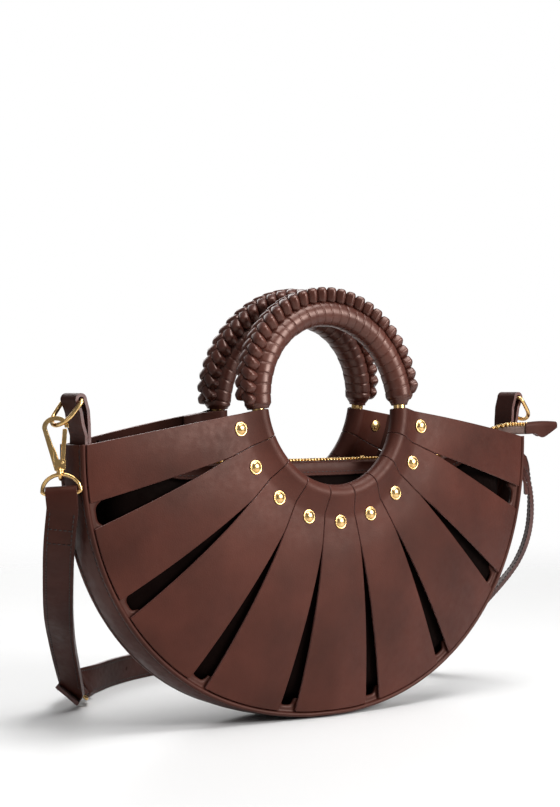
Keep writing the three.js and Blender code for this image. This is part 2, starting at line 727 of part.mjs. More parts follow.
function loopGeometry(side) {
  const barX = BAG_HALF_WIDTH + LOOP_SHIFT;
  const barZ = CORNER_HEIGHT + LOOP_RISE;
  const outerLeg = BAG_HALF_WIDTH - GUSSET_THICKNESS / 2 - GAP - LOOP_THICKNESS / 2;
  const innerLeg = outerLeg - LOOP_THICKNESS - GAP;
  const head = LOOP_THICKNESS / 2 + WIRE + 2 * GAP;
  const path = [
    [innerLeg, CORNER_HEIGHT - LOOP_ROOT],
    [innerLeg, CORNER_HEIGHT],
    [innerLeg + 0.3, CORNER_HEIGHT + LOOP_RISE * 0.45],
  ];
  for (let step = 0; step <= 6; step += 1) {
    const turn = Math.PI * (1 - step / 6);
    path.push([barX + head * Math.cos(turn), barZ + head * Math.sin(turn)]);
  }
  path.push(
    [outerLeg + 2.2, CORNER_HEIGHT + LOOP_RISE * 0.45],
    [outerLeg, CORNER_HEIGHT + LOOP_RISE * 0.2],
    [outerLeg, CORNER_HEIGHT - LOOP_ROOT],
  );
  const half = (side * LOOP_WIDTH) / 2;
  return sheet(path.map(([x, z]) => [vec(side * x, -half, z), vec(side * x, half, z)]), LOOP_THICKNESS);
}

function extrudeInFrame(shape, frame, thickness) {
  const slab = new THREE.ExtrudeGeometry(shape, { depth: thickness, bevelEnabled: false, curveSegments: 7 });
  slab.translate(0, 0, -thickness / 2);
  const up = frame.along.clone().negate();
  const out = frame.across.clone().cross(up);
  const basis = new THREE.Matrix4().makeBasis(frame.across, up, out).setPosition(frame.origin);
  return toSolid(slab.applyMatrix4(basis));
}

const HOOK_LEAN = 1.2;
const PIVOT = { across: 2.8, down: 20.2 };
const GATE_TOP = 0.9;
const LUG_TOP = 18.2;
const EYE_DOWN = HOOK_LENGTH + EYE_RADIUS - EYE_WIRE - 0.1;

function hookShape() {
  const outer = HOOK_BOW + HOOK_LIMB;
  const shape = new THREE.Shape();
  shape.moveTo(HOOK_LEAN - 3, -HOOK_LENGTH);
  shape.lineTo(-outer, 0);
  shape.absarc(0, 0, outer, Math.PI, 0, true);
  shape.lineTo(outer, -0.3);
  shape.lineTo(HOOK_BOW, -0.3);
  shape.absarc(0, 0, HOOK_BOW, 0, Math.PI, false);
  shape.lineTo(-0.2, -LUG_TOP + 4);
  shape.lineTo(0.6, -LUG_TOP);
  shape.lineTo(PIVOT.across + 1.9, -LUG_TOP);
  shape.lineTo(HOOK_LEAN + 3, -HOOK_LENGTH);
  return shape;
}

function gateShape() {
  const shape = new THREE.Shape();
  shape.moveTo(PIVOT.across + GATE_HALF_WIDTH, -PIVOT.down);
  shape.lineTo(HOOK_BOW + GATE_HALF_WIDTH, -GATE_TOP);
  shape.lineTo(HOOK_BOW - GATE_HALF_WIDTH, -GATE_TOP);
  shape.lineTo(PIVOT.across - GATE_HALF_WIDTH, -PIVOT.down);
  shape.absarc(PIVOT.across, -PIVOT.down, GATE_HALF_WIDTH, Math.PI, 2 * Math.PI, false);
  return shape;
}

function acrossRod(frame, across, down, radius, length) {
  const rod = new THREE.CylinderGeometry(radius, radius, length, 8);
  const turn = new THREE.Quaternion().setFromUnitVectors(vec(0, 1, 0), frame.out);
  rod.applyQuaternion(turn);
  return toSolid(rod.translate(...inFrame(frame, across, down, 0).toArray()));
}

// The hook with its slot for the gate, the gate's pin, and the swivel eye below
function hookGeometry(frame) {
  const slot = new THREE.Shape();
  slot.moveTo(-1.6, -(PIVOT.down + GATE_HALF_WIDTH + GAP));
  slot.lineTo(8, -(PIVOT.down + GATE_HALF_WIDTH + GAP));
  slot.lineTo(8, -LUG_TOP + 7);
  slot.lineTo(-1.6, -LUG_TOP + 7);
  const eye = new THREE.TorusGeometry(EYE_RADIUS, EYE_WIRE, 6, 12);
  eye.applyQuaternion(new THREE.Quaternion().setFromUnitVectors(vec(0, 0, 1), frame.across));
  eye.translate(...inFrame(frame, HOOK_LEAN, EYE_DOWN, 0).toArray());
  return fromSolid(
    extrudeInFrame(hookShape(), frame, HOOK_THICKNESS)
      .subtract(extrudeInFrame(slot, frame, GATE_THICKNESS + 2 * GAP))
      .add(acrossRod(frame, PIVOT.across, PIVOT.down, PIN_RADIUS, HOOK_THICKNESS - 0.2))
      .add(toSolid(eye)),
  );
}

function gateGeometry(frame) {
  const bore = acrossRod(frame, PIVOT.across, PIVOT.down, PIN_RADIUS + GAP, HOOK_THICKNESS * 2);
  return fromSolid(extrudeInFrame(gateShape(), frame, GATE_THICKNESS).subtract(bore));
}

// One corner's hardware, and where the strap's ring has its bar
function buildCorner(name, side, pose) {
  const bar = vec(side * (BAG_HALF_WIDTH + LOOP_SHIFT), 0, CORNER_HEIGHT + LOOP_RISE);
  const swing = vec(side * D_SWING, 0, -Math.sqrt(D_DEPTH ** 2 - D_SWING ** 2));
  const dFrame = makeFrame(bar, vec(0, 1, 0), swing);
  add(`${name}_loop`, loopGeometry(side), COLOURS.leather);
  add(`${name}_d_ring`, dRingGeometry(dFrame, D_HALF_WIDTH, D_DEPTH, WIRE), COLOURS.metal);
  const turn = pose.turn * RAD;
  const straight = D_DEPTH - D_HALF_WIDTH;
  const onRing = inFrame(dFrame, D_HALF_WIDTH * Math.sin(turn), straight + D_HALF_WIDTH * Math.cos(turn), 0);
  const bow = onRing.addScaledVector(pose.hookDown, HOOK_SEAT);
  const hook = makeFrame(bow, pose.hookAcross, pose.hookDown);
  add(`${name}_hook`, hookGeometry(hook), COLOURS.metal);
  add(`${name}_hook_gate`, gateGeometry(hook), COLOURS.metal);
  const seat = inFrame(hook, HOOK_LEAN, EYE_DOWN + EYE_RADIUS - EYE_WIRE - STRAP_WIRE - GAP, 0);
  const slant = pose.ringDown.dot(hook.across);
  const ringDown = pose.ringDown.clone().addScaledVector(hook.across, -slant).normalize();
  const ringBar = seat.clone().addScaledVector(ringDown, STRAP_RING_DEPTH);
  const ring = makeFrame(ringBar, hook.across, ringDown.clone().negate());
  const strapRing = dRingGeometry(ring, STRAP_RING_HALF_WIDTH, STRAP_RING_DEPTH, STRAP_WIRE);
  add(`${name}_strap_ring`, strapRing, COLOURS.metal);
  return { bar: ringBar, across: ring.across, down: ringDown };
}

// The strap

// Rows of a strap's middle surface round a bar, from the tail's side to the run's
function foldRows(fold, outward) {
  const offset = STRAP_THICKNESS / 2 + GAP / 2;
  const radius = STRAP_WIRE + 2 * GAP + STRAP_THICKNESS / 2;
  const start = radius * 3;
  const rows = [];
  for (let step = 0; step <= 6; step += 1) {
    const turn = Math.PI * (1 - step / 6);
    rows.push({ along: -radius * Math.sin(turn), out: radius * Math.cos(turn) });
  }
  rows.unshift({ along: start, out: -offset });
  rows.push({ along: start, out: offset });
  return rows.map((row) => ({
    at: fold.bar.clone().addScaledVector(fold.down, row.along).addScaledVector(outward, row.out),
    width: fold.across.clone(),
  }));
}

function routeRows(stops, steps) {
  const path = new THREE.CatmullRomCurve3(stops.map((stop) => stop.at), false, 'centripetal');
  const turns = stops.map((stop) => stop.width.clone().normalize());
  const widths = new THREE.CatmullRomCurve3(turns, false, 'centripetal');
  const rows = [];
  for (let step = 0; step <= steps; step += 1) {
    const at = path.getPoint(step / steps);
    const tangent = path.getTangent(step / steps);
    const width = widths.getPoint(step / steps);
    width.addScaledVector(tangent, -width.dot(tangent)).normalize();
    rows.push({ at, width, out: tangent.clone().cross(width) });
  }
  return rows;
}

function strapSheet(rows) {
  return sheet(rows.map((row) => [-0.5, 0.5].map(
    (share) => row.at.clone().addScaledVector(row.width, share * STRAP_WIDTH),
  )), STRAP_THICKNESS);
}

// A place given as shares of the bag's half width and corner height
function onBag([x, y, z]) {
  return vec(x * BAG_HALF_WIDTH, y * BAG_HALF_WIDTH, z * CORNER_HEIGHT);
}

function stopsOf(route) {
  return route.map((stop) => ({ at: onBag(stop.at), width: vec(...stop.width) }));
}

// The tail that lies behind the start of a run
function tailRows(rows, outward) {
  const shift = STRAP_THICKNESS + GAP;
  const tail = [];
  let length = 0;
  for (let i = 0; i < rows.length && length < STRAP_TAIL; i += 1) {
    length += i > 0 ? rows[i].at.distanceTo(rows[i - 1].at) : 0;
    const side = Math.sign(rows[i].out.dot(outward)) || 1;
    const at = rows[i].at.clone().addScaledVector(rows[i].out, -side * shift);
    tail.unshift({ at, width: rows[i].width });
  }
  return tail;
}

const buckle = makeFrame(onBag(BUCKLE_CENTRE), vec(...BUCKLE_WIDTH), vec(...BUCKLE_ALONG));

function buckleFrameGeometry() {
  const points = [];
  const inset = 1.6;
  for (const [across, along] of [[1, 1], [-1, 1], [-1, -1], [1, -1]]) {
    const corners = [
      [across * BUCKLE_HALF_WIDTH, along * (BUCKLE_HALF_LENGTH - inset)],
      [across * (BUCKLE_HALF_WIDTH - 0.4), along * (BUCKLE_HALF_LENGTH - 0.4)],
      [across * (BUCKLE_HALF_WIDTH - inset), along * BUCKLE_HALF_LENGTH],
    ];
    const ordered = across * along > 0 ? corners : corners.reverse();
    points.push(...ordered.map(([a, l]) => inFrame(buckle, a, l, 0)));
  }
  return closedTube(points, STRAP_WIRE, 28, 6);
}

// The prong, its eye round the hinge bar and its tip on the far bar
function prongSolid(extra) {
  const hinge = -BUCKLE_HALF_LENGTH;
  const eyeRadius = STRAP_WIRE + PRONG_RADIUS + GAP;
  const eye = new THREE.TorusGeometry(eyeRadius, PRONG_RADIUS + extra, 6, 10);
  eye.applyQuaternion(new THREE.Quaternion().setFromUnitVectors(vec(0, 0, 1), buckle.across));
  eye.translate(...inFrame(buckle, 0, hinge, 0).toArray());
  const from = inFrame(buckle, 0, hinge + eyeRadius * 0.8, eyeRadius * 0.6);
  const to = inFrame(buckle, 0, BUCKLE_HALF_LENGTH + 1.4, STRAP_WIRE + PRONG_RADIUS + GAP);
  const path = new THREE.LineCurve3(from, to);
  const rod = new THREE.CylinderGeometry(PRONG_RADIUS + extra, PRONG_RADIUS + extra, path.getLength(), 6);
  rod.applyQuaternion(new THREE.Quaternion().setFromUnitVectors(vec(0, 1, 0), path.getTangent(0)));
  rod.translate(...from.clone().lerp(to, 0.5).toArray());
  return toSolid(eye).add(toSolid(rod));
}

// The side of a fold that faces the front left
function foldSide(fold) {
  const side = fold.across.clone().cross(fold.down);
  return side.dot(vec(-0.614, -0.789, 0)) < 0 ? side.negate() : side;
}

function buildStrap(left, right) {
  const clearance = prongSolid(GAP);
  const hinge = {
    bar: inFrame(buckle, 0, -BUCKLE_HALF_LENGTH, 0),
    across: buckle.across.clone(),
    down: buckle.along.clone().negate(),
  };
  const hingeRows = foldRows(hinge, buckle.out.clone().negate());
  const hingeStart = hingeRows.pop();
  hingeRows.shift();
  const topSide = foldSide(left);
  const topRows = foldRows(left, topSide);
  const topStart = topRows.pop();
  topRows.shift();
  const shortRun = routeRows([topStart, ...stopsOf(STRAP_SHORT_ROUTE), hingeStart], 14);
  const shortRows = [...tailRows(shortRun, topSide), ...topRows, ...shortRun, ...hingeRows.reverse()];
  add('strap_short', fromSolid(toSolid(strapSheet(shortRows)).subtract(clearance)), COLOURS.leather);

  const side = buckle.out.dot(vec(0, 0, 1)) < 0 ? 1 : -1;
  const over = STRAP_WIRE + STRAP_THICKNESS + GAP + STRAP_THICKNESS / 2 + 0.9;
  const under = STRAP_WIRE + STRAP_THICKNESS / 2 + GAP;
  const threaded = [
    [-17, over], [-BUCKLE_HALF_LENGTH, over], [-3.2, over - 0.3], [0, over / 2],
    [3.4, -under / 2], [BUCKLE_HALF_LENGTH, -under], [13, -under],
  ].map(([along, out]) => ({ at: inFrame(buckle, 0, along, out * side), width: buckle.across.clone() }));
  const longSide = foldSide(right);
  const longFold = foldRows(right, longSide);
  const longEnd = longFold.pop();
  longFold.shift();
  const stops = [...threaded, ...stopsOf(STRAP_LONG_ROUTE)];
  longEnd.width = right.across.clone().multiplyScalar(Math.sign(right.across.dot(stops.at(-1).width)));
  for (const row of longFold) {
    row.width = longEnd.width.clone();
  }
  const run = routeRows([...stops, longEnd], 52);
  const tail = tailRows([...run].reverse(), longSide).reverse();
  const longRows = [...run, ...longFold.reverse(), ...tail];
  add('strap_long', fromSolid(toSolid(strapSheet(longRows)).subtract(clearance)), COLOURS.leather);
  add('buckle_frame', buckleFrameGeometry(), COLOURS.metal);
  add('buckle_prong', fromSolid(prongSolid(0)), COLOURS.metal);
}

buildPanels();
buildHandles();
buildInside();
const leftBar = buildCorner('left', -1, {
  turn: 0,
  hookDown: vec(...LEFT_HOOK_DOWN).normalize(),
  hookAcross: vec(...STRAP_SHORT_ROUTE[0].width),
  ringDown: vec(0, 0, -1),
});
const rightBar = buildCorner('right', 1, {
  turn: RIGHT_HOOK_TURN,
  hookDown: vec(...RIGHT_HOOK_DOWN).normalize(),
  hookAcross: vec(...RIGHT_HOOK_ACROSS),
  ringDown: vec(...RIGHT_RING_DOWN),
});
buildStrap(leftBar, rightBar);

export default bag;
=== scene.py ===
"""A half-moon leather handbag with ring handles, dressed around its fixed frame.

Shapes are worked out in millimetres, in the frame's own axes: X to the right across the
front panel, -Y out of the front panel, Z up. Pieces are written in metres.
"""

import logging
import math
from collections.abc import Sequence
from dataclasses import dataclass, field
from enum import Enum
from functools import lru_cache

import bmesh
import bpy
from mathutils import Matrix, Vector


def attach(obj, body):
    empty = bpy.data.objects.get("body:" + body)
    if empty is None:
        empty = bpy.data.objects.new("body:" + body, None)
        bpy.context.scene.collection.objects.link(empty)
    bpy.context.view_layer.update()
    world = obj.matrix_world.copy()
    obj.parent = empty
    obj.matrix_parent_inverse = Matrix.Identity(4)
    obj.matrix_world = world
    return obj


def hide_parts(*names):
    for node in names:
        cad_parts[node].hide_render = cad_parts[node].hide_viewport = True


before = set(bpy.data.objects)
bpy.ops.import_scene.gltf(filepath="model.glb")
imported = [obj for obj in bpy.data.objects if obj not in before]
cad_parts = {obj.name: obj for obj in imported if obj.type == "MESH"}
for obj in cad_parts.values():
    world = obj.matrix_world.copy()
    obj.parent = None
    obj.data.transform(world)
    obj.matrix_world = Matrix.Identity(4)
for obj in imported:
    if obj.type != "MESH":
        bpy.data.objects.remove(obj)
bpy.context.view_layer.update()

LOG = logging.getLogger("handbag")
MM = 0.001
TURN = 2 * math.pi
ACROSS = Vector((1, 0, 0))
BACKWARD = Vector((0, 1, 0))
UP = Vector((0, 0, 1))
POINT_RADIUS = 0.01

Row = list[Vector]
Face = tuple[int, ...]
Profile = Sequence[tuple[float, float]]
Section = tuple[Vector, Vector, Vector]
Colour = tuple[float, float, float]
Socket = bpy.types.NodeSocket
Material = bpy.types.Material


class Side(Enum):
    """The front of the bag, and the back that mirrors it."""

    FRONT = 1
    BACK = -1

    @property
    def word(self) -> str:
        """The word that pieces of this side carry in their names."""
        return self.name.lower()


class End(Enum):
    """The two top corners of the bag."""

    LEFT = -1
    RIGHT = 1

    @property
    def word(self) -> str:
        """The word that pieces of this corner carry in their names."""
        return self.name.lower()


class Slot(Enum):
    """The record's material slots."""

    STRIP = "strip_leather"
    HANDLE = "handle_leather"
    GUSSET = "gusset_leather"
    POUCH = "pouch_leather"
    STRAP = "strap_leather"
    TAPE = "zip_tape"
    GOLD = "gold_metal"


def mix(a: float, b: float, share: float) -> float:
    """The value at a share of the way from a to b."""
    return a + (b - a) * share


def ease(share: float) -> float:
    """A smooth step from 0 to 1, level at both ends."""
    held = min(max(share, 0.0), 1.0)
    return held * held * (3 - 2 * held)


def shares(count: int) -> list[float]:
    """Even shares from 0 to 1.

    Args:
        count: How many steps lie between the ends.

    Returns:
        count + 1 shares.
    """
    return [step / count for step in range(count + 1)]


def circle(centre: Vector, first: Vector, second: Vector, radius: float, count: int) -> Row:
    """Even points of a circle.

    Args:
        centre: Its centre.
        first: The unit direction of its first point.
        second: The unit direction that it turns to.
        radius: Its radius.
        count: How many points it has.

    Returns:
        The points.
    """
    points = []
    for number in range(count):
        turn = TURN * number / count
        points.append(centre + first * (radius * math.cos(turn)) + second * (radius * math.sin(turn)))
    return points


class Draft:
    """The corners and faces of one piece, in millimetres, each face with a finish number."""

    def __init__(self) -> None:
        """Starts with nothing in it."""
        self.points: list[Vector] = []
        self.faces: list[Face] = []
        self.finishes: list[int] = []

    def add_points(self, points: Sequence[Vector]) -> int:
        """Adds corners.

        Args:
            points: The corners to add.

        Returns:
            The number of the first one.
        """
        first = len(self.points)
        self.points.extend(Vector(p) for p in points)
        return first

    def add_face(self, corners: Face, finish: int = 0) -> None:
        """Adds one face from the numbers of its corners."""
        self.faces.append(corners)
        self.finishes.append(finish)

    def skin(self, loops: Sequence[Row], closed: bool = False) -> None:
        """Joins closed loops of corners, one after another, into a tube.

        Args:
            loops: Loops with the same number of corners.
            closed: Whether the last loop joins the first one, or both ends get a face.
        """
        count = len(loops[0])
        firsts = [self.add_points(loop) for loop in loops]
        pairs = list(zip(firsts, firsts[1:]))
        if closed:
            pairs.append((firsts[-1], firsts[0]))
        for low, high in pairs:
            for j in range(count):
                k = (j + 1) % count
                self.add_face((low + j, low + k, high + k, high + j))
        if not closed:
            self.add_face(tuple(firsts[0] + j for j in reversed(range(count))))
            self.add_face(tuple(firsts[-1] + j for j in range(count)))

    def sheet(self, rows: Sequence[Row], thickness: float, under_finish: int = 0) -> None:
        """Adds a sheet of even thickness on a grid of middle points, its cut edges in finish 1.

        Args:
            rows: Rows of points, all of the same number.
            thickness: The sheet's thickness.
            under_finish: The finish number of the face on the far side of the rows' normals.
        """
        last = len(rows) - 1
        side = len(rows[0])
        firsts = []
        for sign in (1, -1):
            lifted = []
            for i, row in enumerate(rows):
                for j, point in enumerate(row):
                    along = rows[min(i + 1, last)][j] - rows[max(i - 1, 0)][j]
                    across = row[min(j + 1, side - 1)] - row[max(j - 1, 0)]
                    normal = along.cross(across).normalized()
                    lifted.append(point + normal * (sign * thickness / 2))
            firsts.append(self.add_points(lifted))
        over, under = firsts
        for i in range(last):
            for j in range(side - 1):
                a, b = i * side + j, (i + 1) * side + j
                self.add_face((over + a, over + b, over + b + 1, over + a + 1))
                self.add_face((under + a, under + a + 1, under + b + 1, under + b), under_finish)
            for j, turned in ((0, False), (side - 1, True)):
                a, b = i * side + j, (i + 1) * side + j
                corners = (over + a, under + a, under + b, over + b)
                self.add_face(corners[::-1] if turned else corners, 1)
        for i, turned in ((0, False), (last, True)):
            for j in range(side - 1):
                a = i * side + j
                corners = (over + a, over + a + 1, under + a + 1, under + a)
                self.add_face(corners[::-1] if turned else corners, 1)

    def lathe(self, profile: Profile, place: Matrix, sides: int) -> None:
        """Adds a turned solid.

        Args:
            profile: Pairs of a radius and a height, from the bottom to the top.
            place: Where its own frame lies, with the axis along local Z.
            sides: How many corners each loop has.
        """
        across, up, _ = place.to_3x3().col
        self.skin([
            circle(place @ Vector((0, 0, height)), across, up, max(radius, POINT_RADIUS), sides)
            for radius, height in profile
        ])

    def prism(self, outline: Profile, place: Matrix, thickness: float) -> None:
        """Adds a flat plate with a given outline, its thickness centred on the place's XY plane."""
        levels = (-thickness / 2, thickness / 2)
        self.skin([[place @ Vector((x, y, level)) for x, y in outline] for level in levels])

    def blob(self, place: Matrix, size: Vector, rings: int, sides: int, power: float) -> None:
        """Adds a soft pebble, a rounded box between an ellipsoid and a brick.

        Args:
            place: Where its own frame lies.
            size: Half of its length along each local axis.
            rings: How many bands it has from end to end.
            sides: How many corners each band has.
            power: 2 for an ellipsoid, and more for squarer shoulders.
        """
        def bend(value: float) -> float:
            """Pushes a sine or cosine out towards the box's corners."""
            return math.copysign(abs(value) ** (2 / power), value)

        loops = []
        for step in range(1, rings):
            polar = math.pi * step / rings
            loop = []
            for s in range(sides):
                turn = TURN * s / sides
                loop.append(place @ Vector((
                    -size.x * bend(math.cos(polar)),
                    size.y * bend(math.sin(polar)) * bend(math.cos(turn)),
                    size.z * bend(math.sin(polar)) * bend(math.sin(turn)),
                )))
            loops.append(loop)
        self.skin(loops)

    def mirror(self) -> "Draft":
        """The same piece on the other side of the bag, front to back."""
        copy = Draft()
        copy.points = [Vector((p.x, -p.y, p.z)) for p in self.points]
        copy.faces = [face[::-1] for face in self.faces]
        copy.finishes = list(self.finishes)
        return copy

    def on_side(self, side: Side) -> "Draft":
        """The piece for a side of the bag, from the one drawn for the front."""
        return self if side is Side.FRONT else self.mirror()


def section_frames(points: Sequence[Vector], closed: bool) -> list[Section]:
    """Steady frames along a path, with as little twist as they can have.

    Args:
        points: The points of the path.
        closed: Whether the path joins its own start.

    Returns:
        The tangent and the two cross directions at each point.
    """
    count = len(points)
    tangents = []
    for i in range(count):
        ahead = points[(i + 1) % count] if closed else points[min(i + 1, count - 1)]
        behind = points[i - 1] if closed or i > 0 else points[0]
        tangents.append((ahead - behind).normalized())
    start = UP if abs(tangents[0].z) < 0.9 else ACROSS
    normal = (start - tangents[0] * start.dot(tangents[0])).normalized()
    frames = []
    for tangent in tangents:
        normal = (normal - tangent * normal.dot(tangent)).normalized()
        frames.append((tangent, normal, tangent.cross(normal)))
    return frames


def tube_loops(points: Sequence[Vector], radius: float, sides: int, closed: bool) -> list[Row]:
    """Round loops along a path.

    Args:
        points: The points of the path.
        radius: The tube's radius.
        sides: How many corners each loop has.
        closed: Whether the path joins its own start.

    Returns:
        A loop of corners for each point.
    """
    frames = section_frames(points, closed)
    return [circle(point, normal, side, radius, sides) for point, (_, normal, side) in zip(points, frames)]


@dataclass(frozen=True)
class Spline:
    """A curve through chosen points, with its speed tied to the square root of their distance."""

    points: tuple[Vector, ...]
    closed: bool = False

    def _corner(self, index: int) -> Vector:
        """The point at an index, made up past either end of an open curve."""
        count = len(self.points)
        if self.closed:
            return self.points[index % count]
        if index < 0:
            return self.points[0] * 2 - self.points[1]
        if index >= count:
            return self.points[-1] * 2 - self.points[-2]
        return self.points[index]

    def at(self, share: float) -> Vector:
        """The curve's point at a share of its run, counted in its chosen points."""
        spans = len(self.points) if self.closed else len(self.points) - 1
        place = share * spans
        index = min(int(place), spans - 1)
        local = place - index
        a, b, c, d = (self._corner(index + k) for k in (-1, 0, 1, 2))
        first, middle, last = (max((q - p).length ** 0.5, 0.0) for p, q in ((a, b), (b, c), (c, d)))
        middle = middle if middle > 1e-4 else 1.0
        first = first if first > 1e-4 else middle
        last = last if last > 1e-4 else middle
        start = ((b - a) / first - (c - a) / (first + middle) + (c - b) / middle) * middle
        end = ((c - b) / middle - (d - b) / (middle + last) + (d - c) / last) * middle
        square, cube = local * local, local ** 3
        return (
            b * (2 * cube - 3 * square + 1) + start * (cube - 2 * square + local)
            + c * (3 * square - 2 * cube) + end * (cube - square)
        )

    def tangent(self, share: float) -> Vector:
        """The curve's direction at a share of its run."""
        step = 1e-4
        return (self.at(min(share + step, 1.0)) - self.at(max(share - step, 0.0))).normalized()


def tilt(x_axis: Vector, z_axis: Vector, place: Vector) -> Matrix:
    """A frame at a place with its X along one direction and its Z near another."""
    x = x_axis.normalized()
    z = (z_axis - x * z_axis.dot(x)).normalized()
    y = z.cross(x)
    made = Matrix((x, y, z)).transposed().to_4x4()
    made.translation = place
    return made


def piece(
    name: str,
    draft: Draft,
    finishes: Sequence[Material],
    nodes: Sequence[str] = (),
    body: str = "bag",
    bevel: float = 0.0,
    crease: float = 40.0,
) -> bpy.types.Object:
    """Turns a draft into an object that rides on a body of the frame.

    Args:
        name: The piece's name.
        draft: Its corners and faces, in millimetres.
        finishes: Its materials, in the order of the draft's finish numbers.
        nodes: The frame's nodes that it stands for.
        body: The body that it rides on.
        bevel: How far its sharp edges are rounded, in millimetres.
        crease: The angle between faces, in degrees, past which an edge is sharp.

    Returns:
        The new object.
    """
    mesh = bpy.data.meshes.new(name)
    mesh.from_pydata([p * MM for p in draft.points], [], draft.faces)
    for finish in finishes:
        mesh.materials.append(finish)
    mesh.polygons.foreach_set("material_index", [min(f, len(finishes) - 1) for f in draft.finishes])
    mesh.polygons.foreach_set("use_smooth", [True] * len(mesh.polygons))
    shell = bmesh.new()
    shell.from_mesh(mesh)
    bmesh.ops.recalc_face_normals(shell, faces=shell.faces)
    shell.to_mesh(mesh)
    shell.free()
    made = bpy.data.objects.new(name, mesh)
    bpy.context.scene.collection.objects.link(made)
    if bevel > 0:
        rounding = made.modifiers.new("rounded_edges", "BEVEL")
        rounding.width = bevel * MM
        rounding.segments = 2
        rounding.limit_method = "ANGLE"
        rounding.angle_limit = math.radians(crease)
        rounding.harden_normals = True
    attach(made, body)
    if nodes:
        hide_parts(*nodes)
    LOG.info("%s: %d corners, %d faces", name, len(draft.points), len(draft.faces))
    return made


class Graph:
    """A short way to lay out one material's nodes."""

    def __init__(self, name: str) -> None:
        """Makes an empty material with one surface shader.

        Args:
            name: The material's name.
        """
        self.material = bpy.data.materials.new(name)
        self.material.use_nodes = True
        self.tree = self.material.node_tree
        self.tree.nodes.clear()
        self.output = self.tree.nodes.new("ShaderNodeOutputMaterial")
        self.shader = self.tree.nodes.new("ShaderNodeBsdfPrincipled")
        self.link(self.shader.outputs["BSDF"], self.output.inputs["Surface"])
        self.coordinates = self.tree.nodes.new("ShaderNodeTexCoord")

    def link(self, source: Socket, target: Socket) -> None:
        """Joins an output to an input."""
        self.tree.links.new(source, target)

    def noise(self, scale: float, detail: float = 2.0, stretch: Vector | None = None) -> Socket:
        """A cloudy pattern fixed to the object.

        Args:
            scale: How many clouds fit in a metre.
            detail: How much finer structure it has.
            stretch: How much finer it is along each axis, or none.

        Returns:
            The pattern's strength.
        """
        texture = self.tree.nodes.new("ShaderNodeTexNoise")
        texture.inputs["Scale"].default_value = scale
        texture.inputs["Detail"].default_value = detail
        source = self.coordinates.outputs["Object"]
        if stretch is not None:
            mapping = self.tree.nodes.new("ShaderNodeMapping")
            mapping.inputs["Scale"].default_value = stretch
            self.link(source, mapping.inputs["Vector"])
            source = mapping.outputs["Vector"]
        self.link(source, texture.inputs["Vector"])
        return texture.outputs["Fac"]

    def cells(self, scale: float) -> Socket:
        """The distance to the nearest cell centre of a pebbled pattern, at a scale per metre."""
        texture = self.tree.nodes.new("ShaderNodeTexVoronoi")
        texture.inputs["Scale"].default_value = scale
        self.link(self.coordinates.outputs["Object"], texture.inputs["Vector"])
        return texture.outputs["Distance"]

    def paint(self, source: Socket, stops: Sequence[tuple[float, Colour]]) -> None:
        """Colours the surface by a pattern's strengths.

        Args:
            source: The pattern.
            stops: Pairs of a strength and its colour.
        """
        ramp = self.tree.nodes.new("ShaderNodeValToRGB")
        elements = ramp.color_ramp.elements
        elements[0].position, elements[0].color = stops[0][0], (*stops[0][1], 1)
        elements[1].position, elements[1].color = stops[-1][0], (*stops[-1][1], 1)
        for position, colour in stops[1:-1]:
            made = elements.new(position)
            made.color = (*colour, 1)
        self.link(source, ramp.inputs["Fac"])
        self.link(ramp.outputs["Color"], self.shader.inputs["Base Color"])

    def gloss(self, source: Socket, low: float, high: float) -> None:
        """Sets the roughness from a pattern's middle range.

        Args:
            source: The pattern.
            low: The roughness of its dark parts.
            high: The roughness of its light parts.
        """
        reach = self.tree.nodes.new("ShaderNodeMapRange")
        reach.inputs["From Min"].default_value = 0.3
        reach.inputs["From Max"].default_value = 0.7
        reach.inputs["To Min"].default_value = low
        reach.inputs["To Max"].default_value = high
        self.link(source, reach.inputs["Value"])
        self.link(reach.outputs["Result"], self.shader.inputs["Roughness"])

    def bump(self, layers: Sequence[tuple[Socket, float, float]]) -> None:
        """Raises the surface by patterns laid one on another.

        Args:
            layers: A pattern, its strength, and its height in millimetres, for each layer.
        """
        below = None
        for source, strength, height in layers:
            relief = self.tree.nodes.new("ShaderNodeBump")
            relief.inputs["Strength"].default_value = strength
            relief.inputs["Distance"].default_value = height * MM
            self.link(source, relief.inputs["Height"])
            if below is not None:
                self.link(below, relief.inputs["Normal"])
            below = relief.outputs["Normal"]
        self.link(below, self.shader.inputs["Normal"])

    def set(self, **values: float) -> None:
        """Sets the shader's own sockets, named with underscores for spaces."""
        for name, value in values.items():
            self.shader.inputs[name.replace("_", " ")].default_value = value


def lighter(tone: Colour, share: float) -> Colour:
    """A colour with each part multiplied by a share."""
    return tuple(value * share for value in tone)


